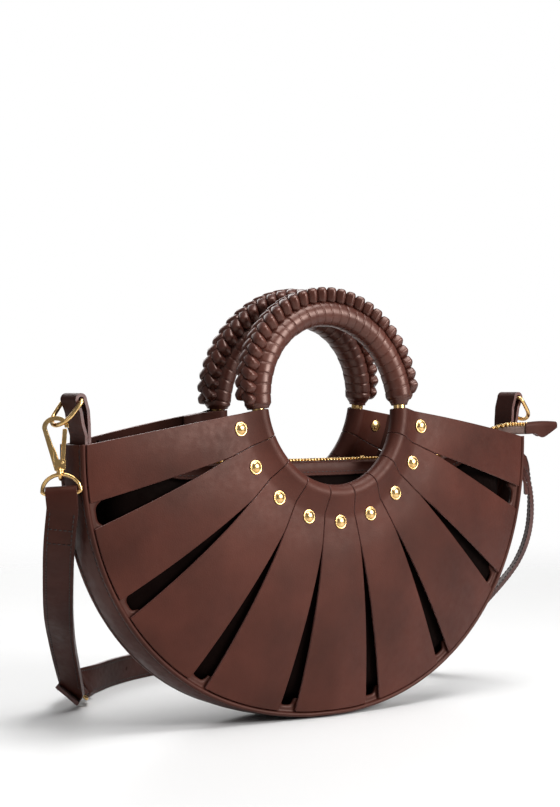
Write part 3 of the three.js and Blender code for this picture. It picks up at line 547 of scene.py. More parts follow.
@dataclass(frozen=True)
class Leather:
    """Smooth dyed leather with a faint pebble, soft creases and a satin topcoat."""

    name: str
    shade: Colour
    tone: Colour
    warm: Colour
    low_gloss: float = 0.42
    high_gloss: float = 0.56
    pebble: float = 0.2
    crease: float = 0.34
    coat: float = 0.03
    shine: float = 0.26
    cloud_scale: float = 26.0
    gloss_scale: float = 240.0
    crease_scale: float = 45.0
    pebble_scale: float = 1150.0
    pore_scale: float = 2300.0
    crease_height: float = 0.9
    pebble_height: float = 0.16
    pore_height: float = 0.07
    pore_share: float = 0.8
    coat_roughness: float = 0.32
    reflection: Colour = (1.0, 0.66, 0.55)

    def make(self) -> Material:
        """The material, with its colour clouds, grain and gloss."""
        graph = Graph(self.name)
        clouds = graph.noise(self.cloud_scale, 4)
        graph.paint(clouds, [(0.28, self.shade), (0.5, self.tone), (0.72, self.warm)])
        graph.gloss(graph.noise(self.gloss_scale, 3), self.low_gloss, self.high_gloss)
        graph.bump([
            (graph.noise(self.crease_scale), self.crease, self.crease_height),
            (graph.cells(self.pebble_scale), self.pebble, self.pebble_height),
            (graph.noise(self.pore_scale), self.pebble * self.pore_share, self.pore_height),
        ])
        graph.set(Coat_Weight=self.coat, Coat_Roughness=self.coat_roughness, Specular_IOR_Level=self.shine)
        graph.shader.inputs["Specular Tint"].default_value = (*self.reflection, 1)
        return graph.material


@dataclass(frozen=True)
class PaintedEdge:
    """Edge paint on cut leather, glossier than its face, and a little lighter: partly its own tone, partly a
    painted highlight along the edges.
    """

    name: str
    tone: Colour

    def make(self) -> Material:
        """The material, with faint brush waves."""
        graph = Graph(self.name)
        graph.paint(graph.noise(160), [(0.35, self.tone), (0.65, lighter(self.tone, 1.35))])
        graph.gloss(graph.noise(400), 0.26, 0.38)
        graph.bump([(graph.noise(300, 2), 0.2, 0.15)])
        graph.set(Coat_Weight=0.25, Coat_Roughness=0.2)
        return graph.material


@dataclass(frozen=True)
class GoldMetal:
    """Pale plated metal with fine wear and a soft brushed bloom."""

    name: str = "pale_gold"
    tone: Colour = (0.62, 0.37, 0.13)
    pale: Colour = (0.78, 0.53, 0.24)

    def make(self) -> Material:
        """The material, with its tint, bloom and hairlines."""
        graph = Graph(self.name)
        graph.paint(graph.noise(190, 3), [(0.3, self.tone), (0.7, self.pale)])
        graph.gloss(graph.noise(220), 0.2, 0.28)
        graph.bump([(graph.noise(700, 1, Vector((1, 1, 3))), 0.04, 0.03)])
        graph.set(Metallic=1.0)
        return graph.material


@dataclass(frozen=True)
class Thread:
    """Waxed sewing thread with the twist of its strands."""

    name: str
    tone: Colour

    def make(self) -> Material:
        """The material, with its twist."""
        graph = Graph(self.name)
        graph.paint(graph.noise(900), [(0.35, self.tone), (0.65, lighter(self.tone, 1.6))])
        graph.gloss(graph.noise(1500), 0.45, 0.6)
        graph.bump([(graph.noise(2600, 2, Vector((1, 1, 2.4))), 0.4, 0.1)])
        return graph.material


@dataclass(frozen=True)
class WovenTape:
    """The zip's tape, a fine dark weave."""

    name: str = "zip_weave"
    tone: Colour = (0.05, 0.022, 0.014)

    def make(self) -> Material:
        """The material, with threads that cross."""
        graph = Graph(self.name)
        warp = graph.noise(900, 1, Vector((4, 1, 1)))
        weft = graph.noise(900, 1, Vector((1, 4, 1)))
        graph.paint(warp, [(0.4, self.tone), (0.6, lighter(self.tone, 1.7))])
        graph.gloss(weft, 0.6, 0.8)
        graph.bump([(warp, 0.4, 0.15), (weft, 0.4, 0.15)])
        graph.set(Sheen_Weight=0.2)
        return graph.material


class Finishes:
    """Every material of the bag, made once."""

    def __init__(self) -> None:
        """Makes the materials."""
        dark: Colour = (0.028, 0.006, 0.0036)
        tone: Colour = (0.045, 0.0102, 0.0062)
        warm: Colour = (0.062, 0.015, 0.0094)
        self.strip = Leather("strip_leather", dark, tone, warm).make()
        self.lace = Leather(
            "lace_leather", (0.03, 0.0078, 0.005), (0.05, 0.0132, 0.0085), (0.07, 0.0195, 0.0125),
            low_gloss=0.32, high_gloss=0.42, pebble=0.1, crease=0.14, coat=0.14, shine=0.5,
        ).make()
        # Gusset leather is the strip leather with darker tones: painted shade for the band that faces away
        # from the lamps.
        self.gusset = Leather("gusset_leather", dark, (0.038, 0.009, 0.0058), (0.05, 0.0132, 0.0086)).make()
        # Pouch leather made near-black: painted shade, standing in for the deep shadow inside the bag seen
        # through the slits.
        self.pouch = Leather(
            "pouch_leather", (0.0012, 0.0006, 0.0005), (0.002, 0.0009, 0.0008), (0.003, 0.0013, 0.0011),
            low_gloss=0.75, high_gloss=0.9, coat=0.0, shine=0.04,
        ).make()
        self.strap = Leather(
            "strap_leather", (0.02, 0.0045, 0.0028), (0.032, 0.0076, 0.0048), (0.044, 0.0112, 0.0074),
            shine=0.2,
        ).make()
        # Strip-back leather; on the strap's punched holes its dark colour is painted shade.
        self.inner = Leather(
            "strip_back", (0.012, 0.0034, 0.0022), (0.019, 0.0052, 0.0034), (0.027, 0.0074, 0.005),
            low_gloss=0.62, high_gloss=0.78, pebble=0.3, coat=0.0, shine=0.12,
        ).make()
        # Lighter pinkish edge colour: partly the edge paint's own tone, partly a painted highlight on the
        # cut edges.
        self.edge = PaintedEdge("edge_paint", (0.085, 0.034, 0.028)).make()
        self.cut_strap = [self.strap, self.edge]
        self.thread = Thread("dark_thread", (0.007, 0.0028, 0.0022)).make()
        self.gold = GoldMetal().make()
        self.teeth = GoldMetal("tooth_gold", (0.55, 0.35, 0.14), (0.78, 0.55, 0.26)).make()
        self.tape = WovenTape().make()


@dataclass(frozen=True)
class Stitching:
    """A row of stitches, each a short bent bar of thread that dips in at both ends."""

    pitch: float = 3.3
    length: float = 2.5
    radius: float = 0.36
    sides: int = 5
    bends: tuple[tuple[float, float, float], ...] = (
        (-0.5, -0.3, 0.5), (-0.32, 0.35, 1.0), (0.32, 0.35, 1.0), (0.5, -0.3, 0.5),
    )

    def run(self, path: Sequence[tuple[Vector, Vector]], draft: Draft) -> None:
        """Adds the stitches along a path.

        Args:
            path: Points of the sewn line, each with the surface's outward direction.
            draft: The draft that takes the stitches.
        """
        points = [point for point, _ in path]
        lengths = [0.0]
        for a, b in zip(points, points[1:]):
            lengths.append(lengths[-1] + (b - a).length)
        count = max(int(lengths[-1] / self.pitch), 1)
        index = 0
        for number in range(count):
            middle = (number + 0.5) * lengths[-1] / count
            while index < len(points) - 2 and lengths[index + 1] < middle:
                index += 1
            span = max(lengths[index + 1] - lengths[index], 1e-6)
            local = (middle - lengths[index]) / span
            place = points[index].lerp(points[index + 1], local)
            out = path[index][1].lerp(path[index + 1][1], local).normalized()
            along = (points[index + 1] - points[index]).normalized()
            self._stitch(place, along, out, draft)

    def _stitch(self, place: Vector, along: Vector, out: Vector, draft: Draft) -> None:
        """Adds one stitch at a place, along a direction, on a surface that faces out."""
        side = along.cross(out).normalized()
        loops = []
        for share, lift, girth in self.bends:
            centre = place + along * (share * self.length) + out * (lift * self.radius)
            loops.append(circle(centre, side, out, self.radius * girth, self.sides))
        draft.skin(loops)


@dataclass(frozen=True)
class Outline:
    """The half-moon outline of the bag and how deep it is, all in millimetres."""

    half_width: float = 172.3
    corner_height: float = 170.4
    seam_rise: float = 4.4
    power: float = 2.2
    rest_half_length: float = 14.0
    end_half_depth: float = 11.6
    base_half_depth: float = 23.0
    depth_power: float = 2.2
    ring_rise: float = 22.6

    @property
    def depth(self) -> float:
        """How far the seam drops from a corner to where the bag rests."""
        return self.corner_height - self.seam_rise

    def _lift(self, x: float) -> float:
        """The bare curve's height at a distance from the middle."""
        share = min(abs(x) / self.half_width, 1.0)
        return self.depth * (1 - (1 - share ** self.power) ** (1 / self.power))

    def height(self, x: float) -> float:
        """The seam's height at a distance from the middle, level where the bag rests."""
        level = self._lift(self.rest_half_length)
        scale = self.depth / (self.depth - level)
        return self.seam_rise + max(self._lift(x) - level, 0.0) * scale

    def seam(self, x: float) -> Vector:
        """The front seam's point at a distance from the middle."""
        height = self.height(x)
        centre = self.corner_height + self.ring_rise
        angle = math.degrees(math.atan2(centre - height, abs(x)))
        corner = math.degrees(math.atan2(self.ring_rise, self.half_width))
        share = max(angle - corner, 0.0) / (90 - corner)
        half_depth = mix(self.end_half_depth, self.base_half_depth, share ** self.depth_power)
        return Vector((x, -half_depth, height))


@dataclass(frozen=True)
class RingPlane:
    """The front ring, the leaning plane that it lies in, and polar places in that plane."""

    outline: Outline
    radius: float = 56.3
    wire: float = 3.75
    half_spread: float = 20.5
    lean: float = 6.4

    @property
    def centre(self) -> Vector:
        """The ring's centre."""
        return Vector((0, -self.half_spread, self.outline.corner_height + self.outline.ring_rise))

    @property
    def upward(self) -> Vector:
        """The plane's own up."""
        return Vector((0, math.sin(math.radians(self.lean)), math.cos(math.radians(self.lean))))

    @property
    def out(self) -> Vector:
        """The way out of the plane, to the front."""
        return ACROSS.cross(self.upward)

    def point(self, radius: float, angle: float, out: float) -> Vector:
        """A place from its radius, its angle in degrees, and its distance out of the plane."""
        turn = math.radians(angle)
        flat = ACROSS * (radius * math.cos(turn)) + self.upward * (radius * math.sin(turn))
        return self.centre + flat + self.out * out

    def polar(self, point: Vector) -> tuple[float, float, float]:
        """A place's radius, angle in degrees, and distance out of the plane."""
        arm = point - self.centre
        up = arm.dot(self.upward)
        return math.hypot(arm.x, up), math.degrees(math.atan2(up, arm.x)), arm.dot(self.out)


@dataclass(frozen=True)
class Border:
    """Where the panels meet the gusset, found by angle in the ring's plane."""

    outline: Outline
    ring: RingPlane

    @property
    def corner(self) -> tuple[float, float, float]:
        """The right top corner's polar place."""
        return self.ring.polar(self.outline.seam(self.outline.half_width))

    @lru_cache(maxsize=4096)
    def at(self, angle: float) -> Vector:
        """The seam's point at an angle, from -180 at the left to 0 at the right."""
        side = -1 if angle < -90 else 1
        wanted = -180 - angle if angle < -90 else angle
        low, high = 0.0, self.outline.half_width
        for _ in range(34):
            middle = (low + high) / 2
            if self.ring.polar(self.outline.seam(middle))[1] < wanted:
                low = middle
            else:
                high = middle
        return self.outline.seam(side * (low + high) / 2)

    def held(self, angle: float) -> float:
        """An angle kept between the two corners."""
        return min(max(angle, -180 - self.corner[1]), self.corner[1])


@dataclass(frozen=True)
class Panels:
    """The nine strips of each side, folded round the ring, and the rivets that hold them."""

    ring: RingPlane
    border: Border
    thickness: float = 1.6
    gap: float = 0.3
    pitch: float = 19.54
    rivet_circle: float = 73.1
    flat_start: float = 68.0
    flat_end: float = 84.0
    flap_end: float = 82.0
    top_drop: float = 3.4
    slit_start: float = 0.05
    slit_power: float = 0.9
    curve: float = 1.6
    border_angles: tuple[float, ...] = (7.5, 20.3, 38.45, 59.05, 79.6)
    slit_widths: tuple[float, ...] = (0.0, 14.5, 12.0, 12.5, 12.0)
    columns: int = 10
    fold_steps: int = 14
    rows_down: int = 26
    rivet_radius: float = 4.4
    rivet_height: float = 2.2
    puff: float = 0.9

    @property
    def layer(self) -> float:
        """How far a strip's middle lies from the ring's plane where it is flat."""
        return self.thickness / 2 + self.gap / 2

    @property
    def fold_radius(self) -> float:
        """The radius of a strip's middle where it turns round the ring."""
        return self.ring.wire + 3 * self.gap + self.thickness / 2

    def seam_angle(self, index: int, side: int, radius: float, share: float) -> float:
        """The angle of a strip's edge.

        Args:
            index: The seam's number, 0 at the left top edge to 9 at the right one.
            side: 1 for the strip after the seam, and -1 for the one before it.
            radius: The place's radius in the ring's plane.
            share: How far the place is on the way from the rivets to the border.

        Returns:
            The angle in degrees.
        """
        turn, level = (1, -180) if index < 5 else (-1, 0)
        from_end = min(index, 9 - index)
        if from_end == 0:
            corner_radius, corner_angle, _ = self.border.corner
            corner_drop = -corner_radius * math.sin(math.radians(corner_angle))
            slope = (corner_drop - self.top_drop) / (corner_radius - self.ring.radius)
            drop = self.top_drop + slope * max(radius - self.ring.radius, 0.0)
            return level + turn * math.degrees(math.asin(drop / radius))
        at_ring = -90 + (index - 4.5) * self.pitch
        at_border = level + turn * self.border_angles[from_end]
        opened = max(share - self.slit_start, 0.0) / (1 - self.slit_start)
        half = (self.gap + self.slit_widths[from_end] * opened ** self.slit_power) / 2
        return mix(at_ring, at_border, share) + math.degrees(side * half / radius)

    def out(self, share: float, border_out: float) -> float:
        """How far the panel stands out of the ring's plane at a share of the way down."""
        return mix(self.layer, border_out, max(share, 0.0) ** self.curve)

    def place(self, strip: int, across: float, share: float) -> Vector:
        """A point of a strip's middle surface below its rivet.

        Args:
            strip: The strip's number, from 0.
            across: The share of its width.
            share: The share of the way from the flat part to the border.

        Returns:
            The point.
        """
        far = self.border.corner[0]
        edge = mix(self.seam_angle(strip, 1, far, 1), self.seam_angle(strip + 1, -1, far, 1), across)
        found = self.ring.polar(self.border.at(round(self.border.held(edge), 4)))
        radius = mix(self.flat_end, found[0], share)
        left = self.seam_angle(strip, 1, radius, share)
        right = self.seam_angle(strip + 1, -1, radius, share)
        crown = self.puff * math.sin(math.pi * across) * math.sin(math.pi * min(share, 1.0)) ** 0.7
        return self.ring.point(radius, mix(left, right, across), self.out(share, found[2]) + crown)

    def strip_rows(self, strip: int) -> list[Row]:
        """The middle surface of a strip, from its flap inside the bag to the border."""
        reach = self.flat_start - self.ring.radius
        lean = math.acos(self.fold_radius / math.hypot(reach, self.layer)) + math.atan2(self.layer, reach)
        path = [(mix(self.flap_end, self.flat_start, share), -self.layer) for share in shares(4)]
        for share in shares(self.fold_steps):
            turn = -lean - (TURN - 2 * lean) * share
            path.append((
                self.ring.radius + self.fold_radius * math.cos(turn),
                self.fold_radius * math.sin(turn),
            ))
        path += [(mix(self.flat_start, self.flat_end, share), self.layer) for share in shares(4)]
        rows = []
        for radius, out in path:
            left = self.seam_angle(strip, 1, radius, 0)
            right = self.seam_angle(strip + 1, -1, radius, 0)
            rows.append([self.ring.point(radius, mix(left, right, s), out) for s in shares(self.columns)])
        for share in shares(self.rows_down)[1:]:
            rows.append([self.place(strip, s, share) for s in shares(self.columns)])
        return rows

    def rivet(self, strip: int) -> Draft:
        """A strip's rivet: a domed cap with a thin turned rim, its shank, and the cap inside."""
        draft = Draft()
        centre = self.ring.point(self.rivet_circle, -90 + (strip - 4) * self.pitch, 0)
        place = tilt(ACROSS, self.ring.out, centre)
        face = self.layer + self.thickness / 2 + 0.05
        r, h = self.rivet_radius, self.rivet_height
        head = [(0, face - 1), (r * 0.95, face - 0.2), (r, face + 0.15), (r, face + 0.42)]
        head += [(r * 0.93, face + 0.62), (r * 0.85, face + 0.55), (r * 0.8, face + 0.5)]
        head += [
            (r * 0.8 * math.cos(turn), face + 0.5 + (h - 0.5) * math.sin(turn))
            for turn in (math.pi / 2 * share for share in shares(7)[1:])
        ]
        draft.lathe(head, place, 28)
        cap = [(0, -face - 0.95), (2.4, -face - 0.9), (2.9, -face - 0.55), (3.1, -face - 0.6)]
        cap += [(3.7, -face - 0.45), (3.8, -face - 0.1), (3.6, -face), (0, -face + 0.4)]
        draft.lathe(cap, place, 20)
        return draft

    def build(self, finishes: Finishes) -> None:
        """Makes the strips and rivets of both sides."""
        for strip in range(9):
            sheet = Draft()
            sheet.sheet(self.strip_rows(strip), self.thickness, under_finish=2)
            rivet = self.rivet(strip)
            for side in Side:
                number = f"{side.word}_%s_{strip + 1}"
                piece(
                    number.replace("%s", "panel_strip"), sheet.on_side(side),
                    [finishes.strip, finishes.edge, finishes.inner],
                    [number.replace("%s", "strip")], bevel=0.5,
                )
                piece(
                    number.replace("%s", "domed_rivet"), rivet.on_side(side), [finishes.gold],
                    [number.replace("%s", "rivet")],
                )


@dataclass(frozen=True)
class WrapEnd:
    """How the lace stops at one end: its last angle, its taper, its radius there, and the plait's start."""

    limit: float
    taper: float
    radius: float
    plait: float


@dataclass(frozen=True)
class Handles:
    """The metal rings, the lace wound round their upper halves, and the plait along the top."""

    ring: RingPlane
    wrap_radius: float = 8.1
    right: WrapEnd = WrapEnd(-1.1, 6.0, 5.2, 4.2)
    left: WrapEnd = WrapEnd(-2.9, 3.0, 6.6, 1.4)
    turns: int = 28
    samples: int = 16
    sides: int = 40
    groove: float = 0.45
    bead_half_length: float = 5.2
    bead_half_width: float = 3.3
    bead_offset: float = 3.1
    bead_slant: float = 50.0
    spine_proud: float = 4.2
    spine_crown: float = 3.8
    bead_count: int = 27
    band_power: int = 9
    lace_wander: float = 0.1
    lace_rate: float = 2.9
    lace_step: float = 0.14
    plait_ease: float = 2.5
    plait_taper: float = 6.0
    row_shift: float = 0.25
    small_share: float = 0.72
    small_margin: float = 1.5
    bead_sink: float = 1.1
    bead_lean: float = 0.12
    bead_roll: float = 0.2
    bead_rings: int = 12
    bead_sides: int = 16
    bead_power: float = 3.6
    bed_sink: float = 2.2
    bed_rise: float = 0.6
    bed_half_width: float = 3.2
    bed_steps: int = 120
    bed_sides: int = 12
    ring_steps: int = 120
    ring_sides: int = 20

    def wound_radius(self, angle: float) -> float:
        """The wound tube's radius before its grooves, narrower near both ends."""
        found = self.wrap_radius
        for end, reach in ((self.right, angle), (self.left, 180 - angle)):
            found = min(found, mix(end.radius, self.wrap_radius, ease((reach - end.limit) / end.taper)))
        return found

    def proud(self, angle: float) -> float:
        """How far the plait's top stands out of the wound tube."""
        crown = self.spine_proud + self.spine_crown * math.sin(math.radians(angle))
        right = ease((angle - self.right.plait + self.plait_ease) / self.plait_taper)
        left = ease((180 - angle - self.left.plait + self.plait_ease) / self.plait_taper)
        return crown * min(right, left)

    def wound_lace(self) -> Draft:
        """The lace as one coil of flat bands, each beside the one before it."""
        draft = Draft()
        first, last = self.right.limit, 180 - self.left.limit
        span = (last - first) / self.turns
        loops = []
        for share in shares(self.turns * self.samples):
            angle = mix(first, last, share)
            base = self.wound_radius(angle)
            loop = []
            for s in range(self.sides):
                turn = TURN * s / self.sides
                whole = (angle - first) / span + s / self.sides
                phase = whole % 1.0
                band = 1 - abs(2 * phase - 1) ** self.band_power
                wander = self.lace_wander * math.sin(self.lace_rate * math.floor(whole))
                lift = wander + self.lace_step * (phase - 0.5)
                radius = base - self.groove + self.groove * band + lift
                loop.append(self.ring.point(
                    self.ring.radius + radius * math.cos(turn), angle, radius * math.sin(turn),
                ))
            loops.append(loop)
        draft.skin(loops)
        return draft

    def plait(self) -> Draft:
        """Two rows of slanting links that lock into each other along the ring's outer side."""
        draft = Draft()
        first, last = self.right.plait, 180 - self.left.plait
        for number in range(self.bead_count):
            for row in (-1, 1):
                angle = mix(first, last, (number + 0.5 + self.row_shift * row) / self.bead_count)
                high = self.proud(angle)
                grown = min(high / (self.spine_proud + self.small_margin), 1.0)
                size = mix(self.small_share, 1.0, grown)
                half_height = high / 2 + self.bead_sink
                radius = self.ring.radius + self.wound_radius(angle) + high - half_height
                centre = self.ring.point(radius, angle, row * self.bead_offset * size)
                turn = math.radians(angle)
                outward = Vector((math.cos(turn), 0, 0)) + self.ring.upward * math.sin(turn)
                along = Vector((-math.sin(turn), 0, 0)) + self.ring.upward * math.cos(turn)
                slant = math.radians(self.bead_slant)
                pull = along * math.cos(slant) + self.ring.out * (row * math.sin(slant))
                pull -= outward * self.bead_lean
                normal = outward + self.ring.out * (row * self.bead_roll)
                place = tilt(pull, normal, centre)
                half = Vector((self.bead_half_length * size, self.bead_half_width * size, half_height))
                draft.blob(place, half, self.bead_rings, self.bead_sides, self.bead_power)
        return draft

    def plait_bed(self) -> Draft:
        """The lace under the links, which fills the room down to the wound tube."""
        draft = Draft()
        loops = []
        for share in shares(self.bed_steps):
            angle = mix(self.right.plait, 180 - self.left.plait, share)
            base = self.ring.radius + self.wound_radius(angle) - self.bed_sink
            top = base + self.bed_sink + self.proud(angle) * self.bed_rise
            loop = []
            for s in range(self.bed_sides):
                turn = TURN * s / self.bed_sides
                loop.append(self.ring.point(
                    mix(base, top, 0.5 + 0.5 * math.sin(turn)), angle, self.bed_half_width * math.cos(turn),
                ))
            loops.append(loop)
        draft.skin(loops)
        return draft

    def metal_ring(self) -> Draft:
        """The bare ring."""
        draft = Draft()
        turns = [360 * step / self.ring_steps for step in range(self.ring_steps)]
        centres = [self.ring.point(self.ring.radius, turn, 0) for turn in turns]
        draft.skin(tube_loops(centres, self.ring.wire, self.ring_sides, True), closed=True)
        return draft

    def build(self, finishes: Finishes) -> None:
        """Makes both handles."""
        lace, plait, bed, metal = self.wound_lace(), self.plait(), self.plait_bed(), self.metal_ring()
        for side in Side:
            word = side.word
            piece(f"{word}_metal_ring", metal.on_side(side), [finishes.gold], [f"{word}_ring"])
            piece(
                f"{word}_wound_lace", lace.on_side(side), [finishes.lace],
                [f"{word}_handle_wrap"], crease=70,
            )
            piece(f"{word}_plait_bed", bed.on_side(side), [finishes.lace])
            piece(f"{word}_plait_links", plait.on_side(side), [finishes.lace])


@dataclass(frozen=True)
class Gusset:
    """The band between the two sides, with a sewn rounded rim just outside the strips' ends."""

    outline: Outline
    ring: RingPlane
    border: Border
    panels: Panels
    steps: int = 520
    lip: float = 3.6
    covered: float = 8.0
    rim: tuple[tuple[float, float], ...] = (
        (-1.0, 1.1), (0.3, 1.1), (0.5, 0.5), (0.75, -0.2), (1.3, -0.72),
        (2.0, -0.85), (2.7, -0.6), (3.25, 0.1), (3.45, 0.9), (3.45, 1.7),
        (3.3, 2.25), (3.02, 2.6), (3.02, 3.0), (3.3, 3.35), (3.5, 4.0),
    )
    inside: tuple[tuple[float, float], ...] = ((1.4, 4.8), (0.3, 3.7), (-0.9, 3.1))
    web_rise: float = 0.85
    web_shares: tuple[float, ...] = (0.2, 0.42, 0.66, 0.88)
    inner_rise: float = 0.75
    outer_face: float = 1.1
    inner_face: float = 3.1
    slit_roundness: int = 4
    reach: float = 0.5
    stitch_radius: float = 0.34
    unsewn_steps: int = 2
    sewn_line: tuple[float, float] = (3.12, 2.8)

    def station(self, angle: float) -> Section:
        """The seam's point at an angle, with its outward way and its way back from the panel."""
        edge = self.border.at(round(angle, 4))
        ahead = self.border.at(round(self.border.held(angle + self.reach), 4))
        behind = self.border.at(round(self.border.held(angle - self.reach), 4))
        run = ahead - behind
        outward = Vector((run.z, 0, -run.x)).normalized()
        arm = (edge - self.ring.centre).normalized()
        back = -(self.ring.out - arm * self.ring.out.dot(arm)).normalized()
        return edge, outward, back

    def _half(self, angle: float, path: Profile) -> Row:
        """Points of a section's front half, from its ways out and back."""
        edge, outward, back = self.station(angle)
        return [edge + outward * out + back * deep for out, deep in path]

    def flange(self, angle: float) -> float:
        """How deep the flange is, with rounded corners where a slit shows it."""
        depth = self.covered
        folded = angle if angle > -90 else -180 - angle
        for border, slit in zip(self.panels.border_angles, self.panels.slit_widths):
            if slit == 0:
                continue
            reach = self.ring.polar(self.border.at(round(-border, 4)))[0]
            across = abs(folded + border) / math.degrees(slit / 2 / reach)
            if across < 1:
                depth = mix(self.lip, self.covered, across ** self.slit_roundness)
        return depth

    def section(self, angle: float) -> Row:
        """One closed loop of the band's section."""
        _, outward, _ = self.station(angle)
        deep = self.flange(angle)
        face = self.outer_face
        front = self._half(angle, ((-deep, face), (-deep / 2, face), *self.rim))
        last = front[-1]
        for share in self.web_shares:
            rise = self.web_rise * math.sin(share * math.pi / 2)
            front.append(Vector((last.x, mix(last.y, 0, share), last.z)) + outward * rise)
        inner = self._half(angle, (*self.inside, (-deep, self.inner_face)))
        start = inner[0]
        inner.insert(0, Vector((start.x, start.y / 2, start.z)) + outward * self.inner_rise)
        back = [Vector((p.x, -p.y, p.z)) for p in reversed(front)]
        back_inner = [Vector((p.x, -p.y, p.z)) for p in reversed(inner)]
        return front + back + back_inner + inner

    def build(self, finishes: Finishes) -> None:
        """Makes the band and its two rows of stitches."""
        corner = self.border.corner[1]
        angles = [mix(-180 - corner, corner, share) for share in shares(self.steps)]
        band = Draft()
        band.skin([self.section(angle) for angle in angles])
        piece("gusset_band", band, [finishes.gusset], ["gusset"], crease=60)
        path = []
        for angle in angles[self.unsewn_steps:-self.unsewn_steps]:
            _, outward, _ = self.station(angle)
            path.append((self._half(angle, [self.sewn_line])[0], outward))
        thread = Draft()
        Stitching(radius=self.stitch_radius).run(path, thread)
        for side in Side:
            piece(f"{side.word}_gusset_stitches", thread.on_side(side), [finishes.thread])


@dataclass(frozen=True)
class Inside:
    """The inner pouch, its facings, and the zip that runs out past the right corner."""

    outline: Outline
    ring: RingPlane
    border: Border
    panels: Panels
    half_length: float = 157.0
    zip_half: float = 146.0
    mouth: float = 6.0
    shoulder: float = 26.0
    thickness: float = 1.5
    zip_level: float = 156.0
    zip_rise: float = 18.6
    level_half: float = 100.0
    climb: float = 65.0
    overhang: float = 10.0
    facing_height: float = 7.6
    tape_half: float = 5.6
    tooth_pitch: float = 1.25
    tab_length: float = 26.0
    rim_drop: float = 1.3
    floor_gap: float = 0.3
    wall_gap: float = 4.0
    wall_gap_at_rivets: float = 5.2
    wall_reach: float = 12.0
    end_reach: float = 9.0
    end_half: float = 0.4
    pouch_steps: int = 64
    pouch_levels: int = 22
    facing_drops: tuple[float, ...] = (5.4, 3.2, 1.4, 0.2)
    facing_top: tuple[tuple[float, float], ...] = ((-0.3, 0.35), (0.7, 0.6), (2.0, 0.55))
    facing_out: float = 0.75
    leather_thickness: float = 1.3
    tape_thickness: float = 0.8
    tape_widths: tuple[float, ...] = (0, 1.4, 2.8, 4.2)
    tooth_size: tuple[float, float, float] = (0.56, 1.5, 1.35)
    tooth_inset: float = 0.35
    tooth_lift: float = 1.5
    end_thickness: float = 1.9
    end_height: float = 6.2

    def zip_height(self, x: float) -> float:
        """The zip's height at a distance from the middle."""
        return self.zip_level + self.zip_rise * ease((abs(x) - self.level_half) / self.climb)

    def room(self, x: float, height: float) -> float:
        """Half of the room between the panels at a place."""
        radius, angle, _ = self.ring.polar(Vector((x, self.ring.centre.y, height)))
        angle = self.border.held(angle)
        found = self.ring.polar(self.border.at(round(angle, 4)))
        flat_end = self.panels.flat_end
        share = min(max((radius - flat_end) / (found[0] - flat_end), 0.0), 1.0)
        panel = -self.ring.point(radius, angle, self.panels.out(share, found[2])).y
        below = ease((radius - flat_end) / self.wall_reach)
        return panel - mix(self.wall_gap_at_rivets, self.wall_gap, below)

    def half(self, x: float, height: float) -> float:
        """Half of the pouch's depth at a place."""
        floor = self.outline.height(x) + self.floor_gap
        rim = self.zip_height(x) - self.rim_drop
        share = (height - floor) / max(rim - floor, 1.0)
        fullness = 0.5 + 0.5 * ease(share / 0.1)
        full_half = max(self.room(x, height) * fullness, self.mouth)
        open_half = mix(self.mouth, full_half, ease((rim - height) / self.shoulder))
        closing = ease((self.half_length + self.thickness - abs(x)) / self.end_reach)
        return open_half * closing + self.end_half

    def pouch(self, finishes: Finishes) -> None:
        """Makes the pouch as one folded skin, in the near-black leather that paints the shade seen inside
        the slits.
        """
        draft = Draft()
        rows = []
        for share in shares(self.pouch_steps):
            x = mix(-self.half_length, self.half_length, share)
            slope = self.outline.height(x + 0.5) - self.outline.height(x - 0.5)
            floor = self.outline.height(x) + 1.1 * math.hypot(1, slope)
            rim = self.zip_height(x) - self.rim_drop
            heights = [mix(rim, floor, level ** 0.9) for level in shares(self.pouch_levels)]
            front = [Vector((x, self.thickness / 2 - self.half(x, height), height)) for height in heights]
            rows.append(front + [Vector((p.x, -p.y, p.z)) for p in reversed(front)])
        draft.sheet(rows, self.thickness)
        piece("inner_pouch", draft, [finishes.pouch, finishes.pouch], ["pouch"])

    def turned(self, x: float) -> float:
        """How far the zip's end is folded upright at a place."""
        start = self.zip_half + 2
        return ease((x - start) / (self.outline.half_width - 9 - start))

    def _side(self) -> float:
        """How far in front of the middle the zip's end runs."""
        return self.outline.seam(self.outline.half_width).y + 1.1 + self.end_thickness / 2

    def tape_point(self, x: float, sign: int, width: float, lift: float = 0.0) -> Vector:
        """A point of the zip's tape, from its distance to the teeth."""
        share = self.turned(x)
        fold = share * math.pi / 2
        top = self.zip_height(x) + mix(0.0, self.end_height / 2 - 0.6, share) + lift
        reach = mix(0.15, 0.5, share) + width * math.cos(fold)
        return Vector((x, self._side() * share + sign * reach, top - width * math.sin(fold)))

    def facings(self, finishes: Finishes) -> None:
        """Makes the two leather facings of the mouth, folded over the tape and sewn."""
        draft = Draft()
        thread = Draft()
        rows = []
        path = []
        for share in shares(120):
            x = mix(-self.zip_half + 1, self.zip_half - 1, share)
            level = self.zip_height(x)
            row = []
            for drop in (self.facing_height, *self.facing_drops):
                depth = self.half(x, level - self.rim_drop - drop)
                row.append(Vector((x, -depth - self.facing_out, level - drop)))
            row += [Vector((x, inward - self.mouth, level + rise)) for inward, rise in self.facing_top]
            rows.append(row)
            lower = row[1]
            path.append((lower + Vector((0, -0.7, 0)), Vector((0, -1, 0))))
        draft.sheet(rows, self.leather_thickness)
        Stitching(pitch=2.9, length=2.1, radius=0.25).run(path, thread)
        for side in Side:
            facing = draft.on_side(side)
            piece(f"{side.word}_zip_facing", facing, finishes.cut_strap, bevel=0.3)
            piece(f"{side.word}_facing_stitches", thread.on_side(side), [finishes.thread])

